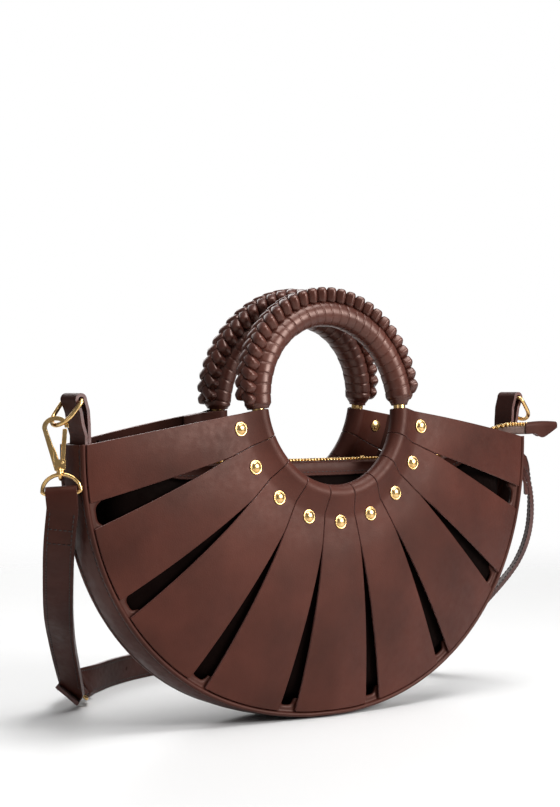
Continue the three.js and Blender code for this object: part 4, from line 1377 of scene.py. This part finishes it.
    def zip(self, finishes: Finishes) -> None:
        """Makes the tape in two halves, and the teeth that mesh between them."""
        end = self.outline.half_width + self.overhang
        tape = Draft()
        for sign in (-1, 1):
            rows = []
            for share in shares(170):
                x = mix(-self.zip_half, end, share)
                widths = (*self.tape_widths, self.tape_half)
                rows.append([self.tape_point(x, sign, width) for width in widths])
            tape.sheet(rows, self.tape_thickness)
        piece("zip_tape", tape, [finishes.tape, finishes.tape], ["zip"])
        teeth = Draft()
        count = int((end + self.zip_half - 3) / self.tooth_pitch)
        for number in range(count):
            x = -self.zip_half + 2 + number * self.tooth_pitch
            sign = 1 if number % 2 else -1
            centre = self.tape_point(x, sign, self.tooth_inset, self.tooth_lift)
            place = tilt(ACROSS, UP, centre)
            teeth.blob(place, Vector(self.tooth_size), 5, 8, 5)
        piece("zip_teeth", teeth, [finishes.teeth])

    def slider(self, finishes: Finishes) -> None:
        """Makes the slider near the closed end, with its pull lying flat."""
        x = 4 - self.level_half
        level = self.zip_height(x)
        place = tilt(ACROSS, UP, Vector((x, 0, level + 2.6)))
        draft = Draft()
        wings = [(-5, -2.6), (-3, -3.6), (2.5, -3.9), (4.6, -2.4)]
        wings += [(p, -q) for p, q in reversed(wings)]
        draft.prism(wings, place, 1.3)
        draft.prism([(p * 0.92, q * 0.92) for p, q in wings], place @ Matrix.Translation((0, 0, -1.6)), 0.9)
        bridge = ((-4, 3), (-3.4, 5), (0, 5.6), (3, 4.8), (3.4, 3))
        curve = Spline(tuple(Vector((x + along, 0, level + rise)) for along, rise in bridge))
        draft.skin(tube_loops([curve.at(share) for share in shares(16)], 0.7, 10, False))
        pull = [(4.4, -1.6), (20, -2.2)]
        pull += [(22 + 2.2 * math.cos(turn), 2.2 * math.sin(turn)) for turn in (-1.2, -0.6, 0, 0.6, 1.2)]
        pull += [(20, 2.2), (4.4, 1.6)]
        draft.prism(pull, place @ Matrix.Translation((0, 0, 1.35)), 1.0)
        piece("zip_slider_and_pull", draft, [finishes.gold], ["zip_slider"], bevel=0.3)

    def tab(self, finishes: Finishes) -> None:
        """Makes the leather end of the zip, folded over its top edge and flaring to a point."""
        start = self.outline.half_width + self.overhang - 5
        length = self.tab_length + 5.3
        level = self.zip_height(start)
        half = self.end_height / 2
        low = Spline((
            Vector((0, 0, -half)), Vector((0.16, 0, -half + 0.2)), Vector((0.42, 0, -half - 2.4)),
            Vector((0.7, 0, -half + 0.4)), Vector((1, 0, half - 2.2)),
        ))
        rows = []
        for share in shares(26):
            x = start + share * length
            bottom = level + low.at(share).z
            top = level + half + 1.0 + 0.7 * math.sin(math.pi * share) + 0.5 * share
            middle = self._side() + 1.6 * share ** 2
            open_half = mix(1.75, 1.5, share) + 0.5 * math.sin(math.pi * share)
            row = [Vector((x, middle - open_half, mix(bottom, top - 1.2, s))) for s in shares(5)]
            row += [
                Vector((x, middle - open_half * math.cos(turn), top - 1.2 + 1.2 * math.sin(turn)))
                for turn in (0.6, 1.2, 1.94, 2.54)
            ]
            row += [Vector((x, middle + open_half, mix(top - 1.2, bottom + 0.6, s))) for s in shares(5)]
            rows.append(row)
        draft = Draft()
        draft.sheet(rows, self.leather_thickness)
        piece("zip_end_leather", draft, finishes.cut_strap, ["zip_end_tab"], bevel=0.35)

    def build(self, finishes: Finishes) -> None:
        """Makes everything between the two sides."""
        self.pouch(finishes)
        self.facings(finishes)
        self.zip(finishes)
        self.slider(finishes)
        self.tab(finishes)


@dataclass(frozen=True)
class Pose:
    """An origin with the ways across, along and out of what hangs there."""

    origin: Vector
    across: Vector
    along: Vector
    out: Vector

    @staticmethod
    def of(origin: Vector, across: Vector, along: Vector) -> "Pose":
        """A pose with its along kept and its across squared to it."""
        straight = along.normalized()
        square = (across - straight * across.dot(straight)).normalized()
        return Pose(origin, square, straight, square.cross(straight))

    def place(self, across: float, along: float, out: float) -> Vector:
        """A point given by its distances across, along and out."""
        return self.origin + self.across * across + self.along * along + self.out * out

    def plate(self) -> Matrix:
        """A frame for flat plates, with X across and Y up against the hang."""
        made = Matrix((self.across, -self.along, self.across.cross(-self.along))).transposed().to_4x4()
        made.translation = self.origin
        return made


def bent_ring(pose: Pose, half_width: float, depth: float, wire: float) -> Draft:
    """A D-shaped ring of round wire, with its straight bar through the pose's origin.

    Args:
        pose: Where the bar's middle lies and which way the bow hangs.
        half_width: Half of the ring's width.
        depth: The distance from the bar to the bow's end.
        wire: The wire's radius.

    Returns:
        The ring.
    """
    corner, least_leg, steps, sides = 1.2, 1.4, 110, 16
    legs = max(depth - half_width, least_leg)
    points = [pose.place(share * half_width, 0, 0) for share in (-0.8, 0, 0.8)]
    points.append(pose.place(half_width, corner, 0))
    for share in shares(8):
        turn = share * math.pi
        points.append(pose.place(half_width * math.cos(turn), legs + (depth - legs) * math.sin(turn), 0))
    points.append(pose.place(-half_width, corner, 0))
    curve = Spline(tuple(points), True)
    draft = Draft()
    centres = [curve.at(number / steps) for number in range(steps)]
    draft.skin(tube_loops(centres, wire, sides, True), closed=True)
    return draft


@dataclass(frozen=True)
class HookSizes:
    """The snap hook: its bow, its two lugs, the gate's hinge, and the swivel eye."""

    thickness: float = 3.2
    bow: float = 4.1
    spread: float = 1.1
    play: float = 1.4
    limb: float = 2.5
    length: float = 24.6
    lean: float = 1.2
    pivot_across: float = 2.8
    pivot_down: float = 20.2
    gate_top: float = 0.9
    gate_half_width: float = 1.3
    gate_thickness: float = 1.4
    slot_top: float = 11.2
    slot_bottom: float = 21.8
    eye_radius: float = 3.0
    eye_wire: float = 1.1
    pin: float = 0.7

    @property
    def eye_down(self) -> float:
        """How far the eye's centre lies below the bow's."""
        return self.length + self.eye_radius - self.eye_wire - 0.1

    def body(self, pose: Pose) -> Draft:
        """The hook's bow and limb, its lugs, the pin, the swivel's barrel and its eye."""
        draft = Draft()
        inner = self.bow + self.spread
        outer = inner + self.limb
        outline = [(self.lean - 3, -self.length), (-outer, 0)]
        outline += [
            (outer * math.cos(math.pi * (1 - s)), (self.bow + self.limb) * math.sin(math.pi * (1 - s)))
            for s in shares(20)[1:]
        ]
        outline += [(outer, -0.3), (inner, -0.3)]
        outline += [(inner * math.cos(math.pi * s), self.bow * math.sin(math.pi * s)) for s in shares(18)]
        outline += [(-1.9, -self.slot_top), (-1.9, -self.slot_bottom)]
        outline += [(4.42, -self.slot_bottom), (self.lean + 3, -self.length)]
        draft.prism(outline, pose.plate(), self.thickness)
        lug = [(-2.0, -self.slot_top), (-1.5, -self.slot_top), (-0.2, -15.2), (0.6, -18.2), (3.9, -18.2)]
        lug += [(4.7, -18.9), (4.42, -self.slot_bottom - 0.2), (-2.0, -self.slot_bottom - 0.2)]
        for sign in (-1, 1):
            shift = Matrix.Translation((0, 0, sign * (self.thickness / 2 - 0.3)))
            draft.prism(lug, pose.plate() @ shift, 0.6)
        pin = tilt(pose.across, pose.out, pose.place(self.pivot_across, self.pivot_down, 0))
        edge = self.thickness / 2
        head = [(0, -edge - 0.35), (0.6, -edge - 0.3), (0.95, -edge), (self.pin, -edge + 0.1)]
        draft.lathe(head + [(r, -h) for r, h in reversed(head)], pin, 14)
        return draft

    def swivel(self, pose: Pose) -> Draft:
        """The barrel under the hook and the eye that the strap's ring hangs in."""
        draft = Draft()
        barrel = tilt(pose.across, pose.along, pose.place(self.lean, 0, 0))
        start = self.length - 1.0
        profile = [(0, start), (2.2, start), (2.75, start + 0.35), (2.75, start + 1.2), (2.1, start + 1.5)]
        profile += [(2.1, start + 1.75), (2.4, start + 2.0), (2.0, start + 2.7), (0, start + 2.9)]
        draft.lathe(profile, barrel, 24)
        centre = pose.place(self.lean, self.eye_down, 0)
        ring = circle(centre, pose.along, pose.out, self.eye_radius, 48)
        draft.skin(tube_loops(ring, self.eye_wire, 14, True), closed=True)
        return draft

    def gate(self, pose: Pose) -> Draft:
        """The sprung gate, a slim flat bar with a rounded foot."""
        draft = Draft()
        half = self.gate_half_width
        top = self.bow + self.spread
        outline = [(self.pivot_across + half, -self.pivot_down), (top + half, -self.gate_top)]
        outline += [(top - half, -self.gate_top), (self.pivot_across - half, -self.pivot_down)]
        for share in shares(8)[1:-1]:
            turn = math.pi * (1 + share)
            reach, rise = half * math.cos(turn), half * math.sin(turn)
            outline.append((self.pivot_across + reach, rise - self.pivot_down))
        draft.prism(outline, pose.plate(), self.gate_thickness)
        return draft


@dataclass(frozen=True)
class Swing:
    """How one corner's hook and ring hang."""

    turn: float
    hook_down: tuple[float, float, float]
    hook_across: tuple[float, float, float]
    ring_down: tuple[float, float, float]


@dataclass(frozen=True)
class Corner:
    """The loop, D-ring, snap hook and strap ring at one end of the bag."""

    end: End
    swing: Swing
    outline: Outline
    hook: HookSizes = field(default_factory=HookSizes)
    wire: float = 1.3
    d_half_width: float = 9.8
    d_depth: float = 18.8
    d_swing: float = 12.0
    loop_rise: float = 25.6
    loop_shift: float = 1.2
    loop_root: float = 18.0
    loop_thickness: float = 2.0
    loop_width: float = 16.4
    strap_wire: float = 1.2
    ring_half_width: float = 10.9
    ring_depth: float = 10.8

    def d_pose(self) -> Pose:
        """Where the D-ring hangs in its loop."""
        side = self.end.value
        wide = self.outline.half_width + self.loop_shift
        bar = Vector((side * wide, 0, self.outline.corner_height + self.loop_rise))
        drop = math.sqrt(self.d_depth ** 2 - self.d_swing ** 2)
        return Pose.of(bar, BACKWARD, Vector((side * self.d_swing, 0, -drop)))

    def hook_pose(self) -> Pose:
        """Where the snap hook hangs on the D-ring."""
        turn = math.radians(self.swing.turn)
        straight = self.d_depth - self.d_half_width
        on_ring = self.d_pose().place(
            self.d_half_width * math.sin(turn), straight + self.d_half_width * math.cos(turn), 0,
        )
        down = Vector(self.swing.hook_down).normalized()
        seat = self.hook.bow - self.wire - self.hook.play
        return Pose.of(on_ring + down * seat, Vector(self.swing.hook_across), down)

    def ring_pose(self) -> tuple[Pose, Vector]:
        """The strap ring's pose, its bar at the origin, and the way down from the hook."""
        hook = self.hook_pose()
        reach = self.hook.eye_down + self.hook.eye_radius - self.hook.eye_wire - self.strap_wire - 0.3
        seat = hook.place(self.hook.lean, reach, 0)
        wanted = Vector(self.swing.ring_down)
        down = (wanted - hook.across * wanted.dot(hook.across)).normalized()
        return Pose.of(seat + down * self.ring_depth, hook.across, -down), down

    def loop(self) -> Draft:
        """The leather loop, from inside the gusset up round the D-ring's bar and back."""
        corner, half_width = self.outline.corner_height, self.outline.half_width
        bar_x = half_width + self.loop_shift
        bar_z = corner + self.loop_rise
        outer = half_width - 2.3
        inner = outer - self.loop_thickness - 0.3
        head = self.loop_thickness / 2 + self.wire + 0.6
        rise = self.loop_rise
        path = [(inner, corner - self.loop_root), (inner, corner - 6), (inner, corner)]
        path += [(inner + 0.3, corner + rise * 0.45), (inner + 0.9, corner + rise * 0.75)]
        for share in shares(16):
            turn = math.pi * (1 - share)
            path.append((bar_x + head * math.cos(turn), bar_z + head * math.sin(turn)))
        path += [(outer + 3.4, corner + rise * 0.72), (outer + 2.2, corner + rise * 0.45)]
        path += [(outer, corner + rise * 0.2), (outer, corner - 6), (outer, corner - self.loop_root)]
        side, half = self.end.value, self.loop_width / 2
        rows = [[Vector((side * x, mix(-half, half, s), z)) for s in shares(6)] for x, z in path]
        draft = Draft()
        draft.sheet(rows, self.loop_thickness)
        return draft

    def build(self, finishes: Finishes) -> None:
        """Makes the corner's pieces."""
        word = self.end.word
        piece(
            f"{word}_corner_loop", self.loop(), finishes.cut_strap, [f"{word}_loop"],
            bevel=0.5,
        )
        ring = bent_ring(self.d_pose(), self.d_half_width, self.d_depth, self.wire)
        piece(f"{word}_corner_ring", ring, [finishes.gold], [f"{word}_d_ring"])
        hook = self.hook_pose()
        piece(
            f"{word}_snap_hook", self.hook.body(hook), [finishes.gold], [f"{word}_hook"],
            bevel=0.45, crease=50,
        )
        piece(f"{word}_hook_swivel", self.hook.swivel(hook), [finishes.gold])
        piece(
            f"{word}_snap_gate", self.hook.gate(hook), [finishes.gold], [f"{word}_hook_gate"],
            body=f"{word}_gate", bevel=0.35, crease=50,
        )
        strap_ring = bent_ring(self.ring_pose()[0], self.ring_half_width, self.ring_depth, self.strap_wire)
        piece(f"{word}_ring_of_strap", strap_ring, [finishes.gold], [f"{word}_strap_ring"])


@dataclass(frozen=True)
class Stop:
    """A place of the strap's middle surface and the way of its width there."""

    at: Vector
    width: Vector


RouteTable = tuple[tuple[tuple[float, float, float], tuple[float, float, float]], ...]

SHORT_ROUTE: RouteTable = (
    ((-1.0517, 0.0186, 0.6690), (0.789, -0.614, 0)),
    ((-0.9658, 0.1642, 0.5164), (0.789, -0.614, -0.06)),
    ((-0.8648, 0.3221, 0.3756), (0.76, -0.6, -0.2)),
    ((-0.7603, 0.4643, 0.2523), (0.72, -0.52, -0.46)),
)
LONG_ROUTE: RouteTable = (
    ((-0.3598, 0.8793, 0.0558), (0.05, -0.05, -1)),
    ((-0.1509, 1.0255, 0.0546), (0, 0, -1)),
    ((0.1393, 1.1492, 0.0546), (0, 0, -1)),
    ((0.3831, 1.1782, 0.0540), (0, -0.1, -1)),
    ((0.6152, 1.1143, 0.0493), (-0.12, -0.5, -0.85)),
    ((0.7893, 0.9634, 0.0352), (-0.4, -0.75, -0.5)),
    ((0.8938, 0.7777, 0.0211), (-0.7, -0.7, -0.14)),
    ((0.9634, 0.5920, 0.0469), (-0.8, -0.6, 0)),
    ((1.0215, 0.4411, 0.1232), (-0.72, -0.7, 0)),
    ((1.0737, 0.3192, 0.2347), (-0.65, -0.76, 0)),
    ((1.1277, 0.2089, 0.3662), (-0.614, -0.789, 0)),
    ((1.1666, 0.1277, 0.4812), (-0.614, -0.789, 0)),
    ((1.1782, 0.0754, 0.5986), (-0.614, -0.789, -0.05)),
    ((1.1753, 0.0551, 0.7277), (-0.6, -0.75, -0.2)),
    ((1.1666, 0.0667, 0.8451), (-0.65, -0.68, -0.3)),
)


@dataclass(frozen=True)
class Strap:
    """The shoulder strap in its two lengths, with their folds, stitches, holes, keeper and buckle."""

    outline: Outline
    left: Corner
    right: Corner
    thickness: float = 2.4
    width: float = 18.0
    gap: float = 0.3
    wire: float = 1.2
    wire_sides: int = 16
    frame_steps: int = 120
    frame_corner: float = 1.6
    frame_round: float = 0.4
    tail: float = 24.0
    buckle_half_width: float = 10.9
    buckle_half_length: float = 7.5
    prong: float = 1.0
    buckle_centre: tuple[float, float, float] = (-0.5862, 0.6703, 0.0657)
    buckle_width: tuple[float, float, float] = (0.604, -0.47, -0.645)
    buckle_along: tuple[float, float, float] = (0.529, 0.841, -0.117)
    edge_inset: float = 2.1
    stitch_radius: float = 0.33
    sewn_distances: tuple[float, ...] = (12.0, 21.0)
    hole_distances: tuple[float, ...] = (125.0, 145.0, 165.0, 185.0)
    keeper_distance: float = 45.0
    keeper_half_length: float = 3.5
    keeper_thickness: float = 1.3
    short_steps: int = 110
    long_steps: int = 420

    def _on_bag(self, shares_of: tuple[float, float, float]) -> Vector:
        """A place given as shares of the bag's half width and corner height."""
        x, y, z = shares_of
        wide, high = self.outline.half_width, self.outline.corner_height
        return Vector((x * wide, y * wide, z * high))

    def _stops(self, table: RouteTable) -> list[Stop]:
        """The stops of a route."""
        return [Stop(self._on_bag(at), Vector(width)) for at, width in table]

    @property
    def buckle(self) -> Pose:
        """The buckle's pose, its hinge bar on the side of the short strap."""
        centre = self._on_bag(self.buckle_centre)
        return Pose.of(centre, Vector(self.buckle_width), Vector(self.buckle_along))

    def _fold(self, pose: Pose, down: Vector, outward: Vector) -> list[Stop]:
        """Stops round a ring's bar, from the tail's side to the run's."""
        offset = self.thickness / 2 + self.gap / 2
        radius = self.wire + 2 * self.gap + self.thickness / 2
        path = [(radius * 3, -offset)]
        for share in shares(14):
            turn = math.pi * (1 - share)
            path.append((-radius * math.sin(turn), radius * math.cos(turn)))
        path.append((radius * 3, offset))
        return [
            Stop(pose.origin + down * along + outward * out, pose.across.copy()) for along, out in path
        ]

    def _route(self, stops: Sequence[Stop], steps: int) -> list[Section]:
        """Even steps through the stops: the place, the width's way and the outward way."""
        path = Spline(tuple(stop.at for stop in stops))
        widths = Spline(tuple(stop.width.normalized() for stop in stops))
        rows = []
        for share in shares(steps):
            tangent = path.tangent(share)
            width = widths.at(share)
            width = (width - tangent * width.dot(tangent)).normalized()
            rows.append((path.at(share), width, tangent.cross(width)))
        return rows

    def _tail(self, rows: Sequence[Section], outward: Vector) -> list[Stop]:
        """The tail that lies behind the start of a run."""
        shift = self.thickness + self.gap
        found: list[Stop] = []
        length = 0.0
        for index, (at, width, out) in enumerate(rows):
            if length >= self.tail:
                break
            length += (at - rows[index - 1][0]).length if index else 0.0
            side = math.copysign(1.0, out.dot(outward) or 1.0)
            found.insert(0, Stop(at - out * (side * shift), width))
        return found

    def _leather(self, stops: Sequence[Stop]) -> Draft:
        """The strap's leather through its stops."""
        draft = Draft()
        across = [mix(-0.5, 0.5, share) * self.width for share in shares(8)]
        rows = [[stop.at + stop.width * reach for reach in across] for stop in stops]
        draft.sheet(rows, self.thickness)
        return draft

    def _sew(self, run: Sequence[Section], draft: Draft) -> None:
        """Adds stitches along both edges, on both faces."""
        for edge in (-1, 1):
            for face in (-1, 1):
                shift = edge * (self.width / 2 - self.edge_inset)
                path = [
                    (at + width * shift + out * (face * (self.thickness / 2 + 0.02)), out * face)
                    for at, width, out in run
                ]
                Stitching(pitch=3.0, length=2.2, radius=self.stitch_radius).run(path, draft)

    def _sew_across(self, stop: Section, outward: Vector, draft: Draft) -> None:
        """Adds one row of stitches across the strap."""
        at, width, out = stop
        face = math.copysign(1.0, out.dot(outward) or 1.0)
        reach = self.width / 2 - self.edge_inset
        path = [
            (at + width * mix(-reach, reach, share) + out * (face * (self.thickness / 2 + 0.02)), out * face)
            for share in shares(6)
        ]
        Stitching(pitch=2.6, length=1.9, radius=self.stitch_radius).run(path, draft)

    @staticmethod
    def _fold_side(pose: Pose, down: Vector) -> Vector:
        """The side of a fold that faces the front left."""
        side = pose.across.cross(down)
        return -side if side.dot(Vector((-0.614, -0.789, 0))) < 0 else side

    def short(self, finishes: Finishes) -> None:
        """Makes the short length, from the left hook to the buckle."""
        buckle = self.buckle
        hinge = Pose.of(buckle.place(0, -self.buckle_half_length, 0), buckle.across, buckle.along)
        hinge_rows = self._fold(hinge, -buckle.along, -buckle.out)
        hinge_start = hinge_rows.pop()
        hinge_rows.pop(0)
        ring, down = self.left.ring_pose()
        side = self._fold_side(ring, down)
        top_rows = self._fold(ring, down, side)
        top_start = top_rows.pop()
        top_rows.pop(0)
        run = self._route([top_start, *self._stops(SHORT_ROUTE), hinge_start], self.short_steps)
        middle = [Stop(at, width) for at, width, _ in run]
        stops = [*self._tail(run, side), *top_rows, *middle, *reversed(hinge_rows)]
        piece(
            "strap_short_length", self._leather(stops), finishes.cut_strap,
            ["strap_short"], bevel=0.55,
        )
        thread = Draft()
        self._sew(run[2:-3], thread)
        for distance in self.sewn_distances:
            self._sew_across(self._at_distance(run, distance), side, thread)
        piece("short_strap_stitches", thread, [finishes.thread])

    @staticmethod
    def _at_distance(run: Sequence[Section], distance: float) -> Section:
        """The step of a run at a distance from its start."""
        length = 0.0
        for before, after in zip(run, run[1:]):
            length += (after[0] - before[0]).length
            if length >= distance:
                return after
        return run[-1]

    def long(self, finishes: Finishes) -> None:
        """Makes the long length, from its tip through the buckle to the right hook."""
        buckle = self.buckle
        side = 1 if buckle.out.z < 0 else -1
        over = self.wire + self.thickness + self.gap + self.thickness / 2 + 0.9
        under = self.wire + self.thickness / 2 + self.gap
        half = self.buckle_half_length
        threaded = [(-17, over), (-half, over), (-3.2, over - 0.3), (0, over / 2)]
        threaded += [(3.4, -under / 2), (half, -under), (13, -under)]
        stops = [Stop(buckle.place(0, along, out * side), buckle.across) for along, out in threaded]
        stops += self._stops(LONG_ROUTE)
        ring, down = self.right.ring_pose()
        outward = self._fold_side(ring, down)
        fold = self._fold(ring, down, outward)
        end = fold.pop()
        fold.pop(0)
        sign = math.copysign(1.0, ring.across.dot(stops[-1].width) or 1.0)
        fold = [Stop(stop.at, ring.across * sign) for stop in fold]
        stops.append(Stop(end.at, ring.across * sign))
        run = self._route(stops, self.long_steps)
        tail = list(reversed(self._tail(run[::-1], outward)))
        every = [*[Stop(at, width) for at, width, _ in run], *reversed(fold), *tail]
        piece(
            "strap_long_length", self._leather(every), finishes.cut_strap,
            ["strap_long"], bevel=0.55,
        )
        thread = Draft()
        self._sew(run[3:-3], thread)
        for distance in self.sewn_distances:
            self._sew_across(self._at_distance(run[::-1], distance), outward, thread)
        piece("long_strap_stitches", thread, [finishes.thread])
        self._holes(run, finishes)
        self._keeper(run, finishes)

    def _holes(self, run: Sequence[Section], finishes: Finishes) -> None:
        """Makes the punched holes past the buckle, each a shallow dimple in the dark strip-back leather, as
        painted shade inside the hole.
        """
        draft = Draft()
        for distance in self.hole_distances:
            at, width, out = self._at_distance(run, distance)
            for face in (-1, 1):
                surface = at + out * (face * self.thickness / 2)
                place = tilt(width, out * face, surface)
                # The dimple's dark colour is painted shade, for the shadow inside the punched hole.
                draft.lathe([(0, 0.03), (1.0, 0.03), (1.35, 0.02), (1.4, -0.4), (0, -0.5)], place, 18)
        piece("strap_punched_holes", draft, [finishes.inner])

    def _keeper(self, run: Sequence[Section], finishes: Finishes) -> None:
        """Makes the narrow leather keeper that goes round the strap past the buckle."""
        at, width, out = self._at_distance(run, self.keeper_distance)
        along = out.cross(width).normalized()
        half, rise = self.width / 2 + 1.2, self.thickness / 2 + 1.1
        corner = 0.9
        path = []
        for across, lift in ((1, 1), (-1, 1), (-1, -1), (1, -1)):
            ends = [(across * half, lift * (rise - corner)), (across * (half - corner), lift * rise)]
            path += ends if across * lift > 0 else ends[::-1]
        path.append(path[0])
        draft = Draft()
        depths = [mix(-self.keeper_half_length, self.keeper_half_length, share) for share in shares(3)]
        rows = [[at + width * a + out * b + along * depth for depth in depths] for a, b in path]
        draft.sheet(rows, self.keeper_thickness)
        piece("strap_keeper", draft, finishes.cut_strap, bevel=0.35)

    def metal(self, finishes: Finishes) -> None:
        """Makes the buckle's frame and its prong."""
        buckle = self.buckle
        points = []
        inset, trim = self.frame_corner, self.frame_round
        wide, long = self.buckle_half_width, self.buckle_half_length
        for across, along in ((1, 1), (-1, 1), (-1, -1), (1, -1)):
            corners = [
                (across * wide, along * (long - inset)), (across * (wide - trim), along * (long - trim)),
                (across * (wide - inset), along * long),
            ]
            ordered = corners if across * along > 0 else corners[::-1]
            points += [buckle.place(a, b, 0) for a, b in ordered]
        curve = Spline(tuple(points), True)
        draft = Draft()
        centres = [curve.at(step / self.frame_steps) for step in range(self.frame_steps)]
        draft.skin(tube_loops(centres, self.wire, self.wire_sides, True), closed=True)
        piece("buckle_wire_frame", draft, [finishes.gold], ["buckle_frame"])
        eye = self.wire + self.prong + self.gap
        hinge = buckle.place(0, -long, 0)
        ring = circle(hinge, buckle.along, buckle.out, eye, 30)
        tongue = Draft()
        tongue.skin(tube_loops(ring, self.prong, 12, True), closed=True)
        start = buckle.place(0, -long + eye * 0.8, eye * 0.6)
        tip = buckle.place(0, long + 1.4, self.wire + self.prong + self.gap)
        loops = tube_loops([start.lerp(tip, share) for share in shares(16)], self.prong, 12, False)
        tongue.skin(loops)
        piece("buckle_tongue", tongue, [finishes.gold], ["buckle_prong"])

    def build(self, finishes: Finishes) -> None:
        """Makes the whole strap."""
        self.short(finishes)
        self.long(finishes)
        self.metal(finishes)


def corners(outline: Outline) -> tuple[Corner, Corner]:
    """The hardware of the left and the right end."""
    left = Swing(0, (0, -0.1, -1), (0.789, -0.614, 0), (0, 0, -1))
    right = Swing(55, (0.05, 0.62, -0.78), (0.75, 0.6, 0.28), (0.85, -0.35, -0.39))
    return Corner(End.LEFT, left, outline), Corner(End.RIGHT, right, outline)


@dataclass(frozen=True)
class Lamp:
    """A soft lamp that faces the bag, placed and sized in millimetres, with its power in watts."""

    name: str
    place: tuple[float, float, float]
    width: float
    height: float
    power: float

    def build(self, aim: Vector) -> None:
        """Makes the lamp, pointed at its aim."""
        data = bpy.data.lights.new(self.name, "AREA")
        data.shape = "RECTANGLE"
        data.size, data.size_y = self.width * MM, self.height * MM
        data.energy = self.power
        made = bpy.data.objects.new(self.name, data)
        bpy.context.scene.collection.objects.link(made)
        place = Vector(self.place)
        made.location = place * MM
        made.rotation_mode = "QUATERNION"
        made.rotation_quaternion = (aim - place).to_track_quat("-Z", "Y")


LAMPS = (
    Lamp("left", (-1600, -500, 700), 900, 900, 3),
    Lamp("overhead", (250, -350, 1700), 1400, 1000, 38),
    Lamp("front_right", (900, -1600, 800), 900, 800, 44),
    Lamp("behind", (500, 1500, 800), 1200, 800, 10),
)


@dataclass(frozen=True)
class Studio:
    """The pale floor, the soft lights and the camera at the viewing angle, in millimetres."""

    target: Vector = field(default_factory=lambda: Vector((-14.6, 11.36, 193.0)))
    forward: Vector = field(default_factory=lambda: Vector((0.614, 0.7893, -0.0082)))
    distance: float = 1300.0
    sensor: float = 36.0
    focal_pixels: float = 2080.0
    image_height: float = 807.0
    floor_radius: float = 2600.0
    floor_drop: float = 0.05
    floor_sides: int = 64
    paper: Colour = (0.62, 0.618, 0.615)
    glow: Colour = (0.98, 0.99, 1.0)
    glow_strength: float = 0.2
    lamp_aim: float = 130.0

    def camera(self) -> None:
        """Makes the camera, level and without shift."""
        data = bpy.data.cameras.new("viewing_camera")
        data.sensor_fit = "AUTO"
        data.sensor_width = self.sensor
        data.lens = self.focal_pixels / self.image_height * self.sensor
        data.clip_start, data.clip_end = 0.05, 50
        made = bpy.data.objects.new("viewing_camera", data)
        bpy.context.scene.collection.objects.link(made)
        look = self.forward.normalized()
        made.location = (self.target - look * self.distance) * MM
        made.rotation_mode = "QUATERNION"
        made.rotation_quaternion = look.to_track_quat("-Z", "Y")
        bpy.context.scene.camera = made

    def floor(self) -> None:
        """Makes a wide pale disc that fades into the white surround."""
        draft = Draft()
        rim = circle(UP * -self.floor_drop, ACROSS, BACKWARD, self.floor_radius, self.floor_sides)
        draft.add_points(rim)
        draft.add_face(tuple(range(self.floor_sides)))
        mesh = bpy.data.meshes.new("studio_floor")
        mesh.from_pydata([p * MM for p in draft.points], [], draft.faces)
        graph = Graph("studio_paper")
        tree = graph.tree
        graph.set(Roughness=0.55, Specular_IOR_Level=0.25)
        graph.shader.inputs["Base Color"].default_value = (*self.paper, 1)
        clear = tree.nodes.new("ShaderNodeBsdfTransparent")
        blend = tree.nodes.new("ShaderNodeMixShader")
        length = tree.nodes.new("ShaderNodeVectorMath")
        length.operation = "LENGTH"
        graph.link(graph.coordinates.outputs["Object"], length.inputs[0])
        fade = tree.nodes.new("ShaderNodeMapRange")
        fade.interpolation_type = "SMOOTHSTEP"
        fade.inputs["From Min"].default_value = 0.45
        fade.inputs["From Max"].default_value = 1.5
        graph.link(length.outputs["Value"], fade.inputs["Value"])
        graph.link(fade.outputs["Result"], blend.inputs["Fac"])
        graph.link(graph.shader.outputs["BSDF"], blend.inputs[1])
        graph.link(clear.outputs["BSDF"], blend.inputs[2])
        graph.link(blend.outputs["Shader"], graph.output.inputs["Surface"])
        mesh.materials.append(graph.material)
        made = bpy.data.objects.new("studio_floor", mesh)
        bpy.context.scene.collection.objects.link(made)

    def surround(self) -> None:
        """Makes the surround, white to the camera and softer as a light."""
        world = bpy.data.worlds.new("white_surround")
        world.use_nodes = True
        tree = world.node_tree
        tree.nodes.clear()
        output = tree.nodes.new("ShaderNodeOutputWorld")
        seen = tree.nodes.new("ShaderNodeBackground")
        seen.inputs["Color"].default_value = (1, 1, 1, 1)
        seen.inputs["Strength"].default_value = 1.0
        glow = tree.nodes.new("ShaderNodeBackground")
        glow.inputs["Color"].default_value = (*self.glow, 1)
        glow.inputs["Strength"].default_value = self.glow_strength
        path = tree.nodes.new("ShaderNodeLightPath")
        choice = tree.nodes.new("ShaderNodeMixShader")
        tree.links.new(path.outputs["Is Camera Ray"], choice.inputs["Fac"])
        tree.links.new(glow.outputs["Background"], choice.inputs[1])
        tree.links.new(seen.outputs["Background"], choice.inputs[2])
        tree.links.new(choice.outputs["Shader"], output.inputs["Surface"])
        bpy.context.scene.world = world

    def build(self) -> None:
        """Makes everything around the bag."""
        self.camera()
        self.floor()
        self.surround()
        for lamp in LAMPS:
            lamp.build(UP * self.lamp_aim)
        bpy.context.scene.view_settings.view_transform = "Standard"


def main() -> None:
    """Builds the bag around its frame, then the studio."""
    logging.basicConfig(level=logging.INFO, format="%(name)s %(message)s")
    Studio().build()
    finishes = Finishes()
    outline = Outline()
    ring = RingPlane(outline)
    border = Border(outline, ring)
    panels = Panels(ring, border)
    panels.build(finishes)
    Handles(ring).build(finishes)
    Gusset(outline, ring, border, panels).build(finishes)
    Inside(outline, ring, border, panels).build(finishes)
    left, right = corners(outline)
    left.build(finishes)
    right.build(finishes)
    Strap(outline, left, right).build(finishes)


if __name__ == "__main__":
    main()
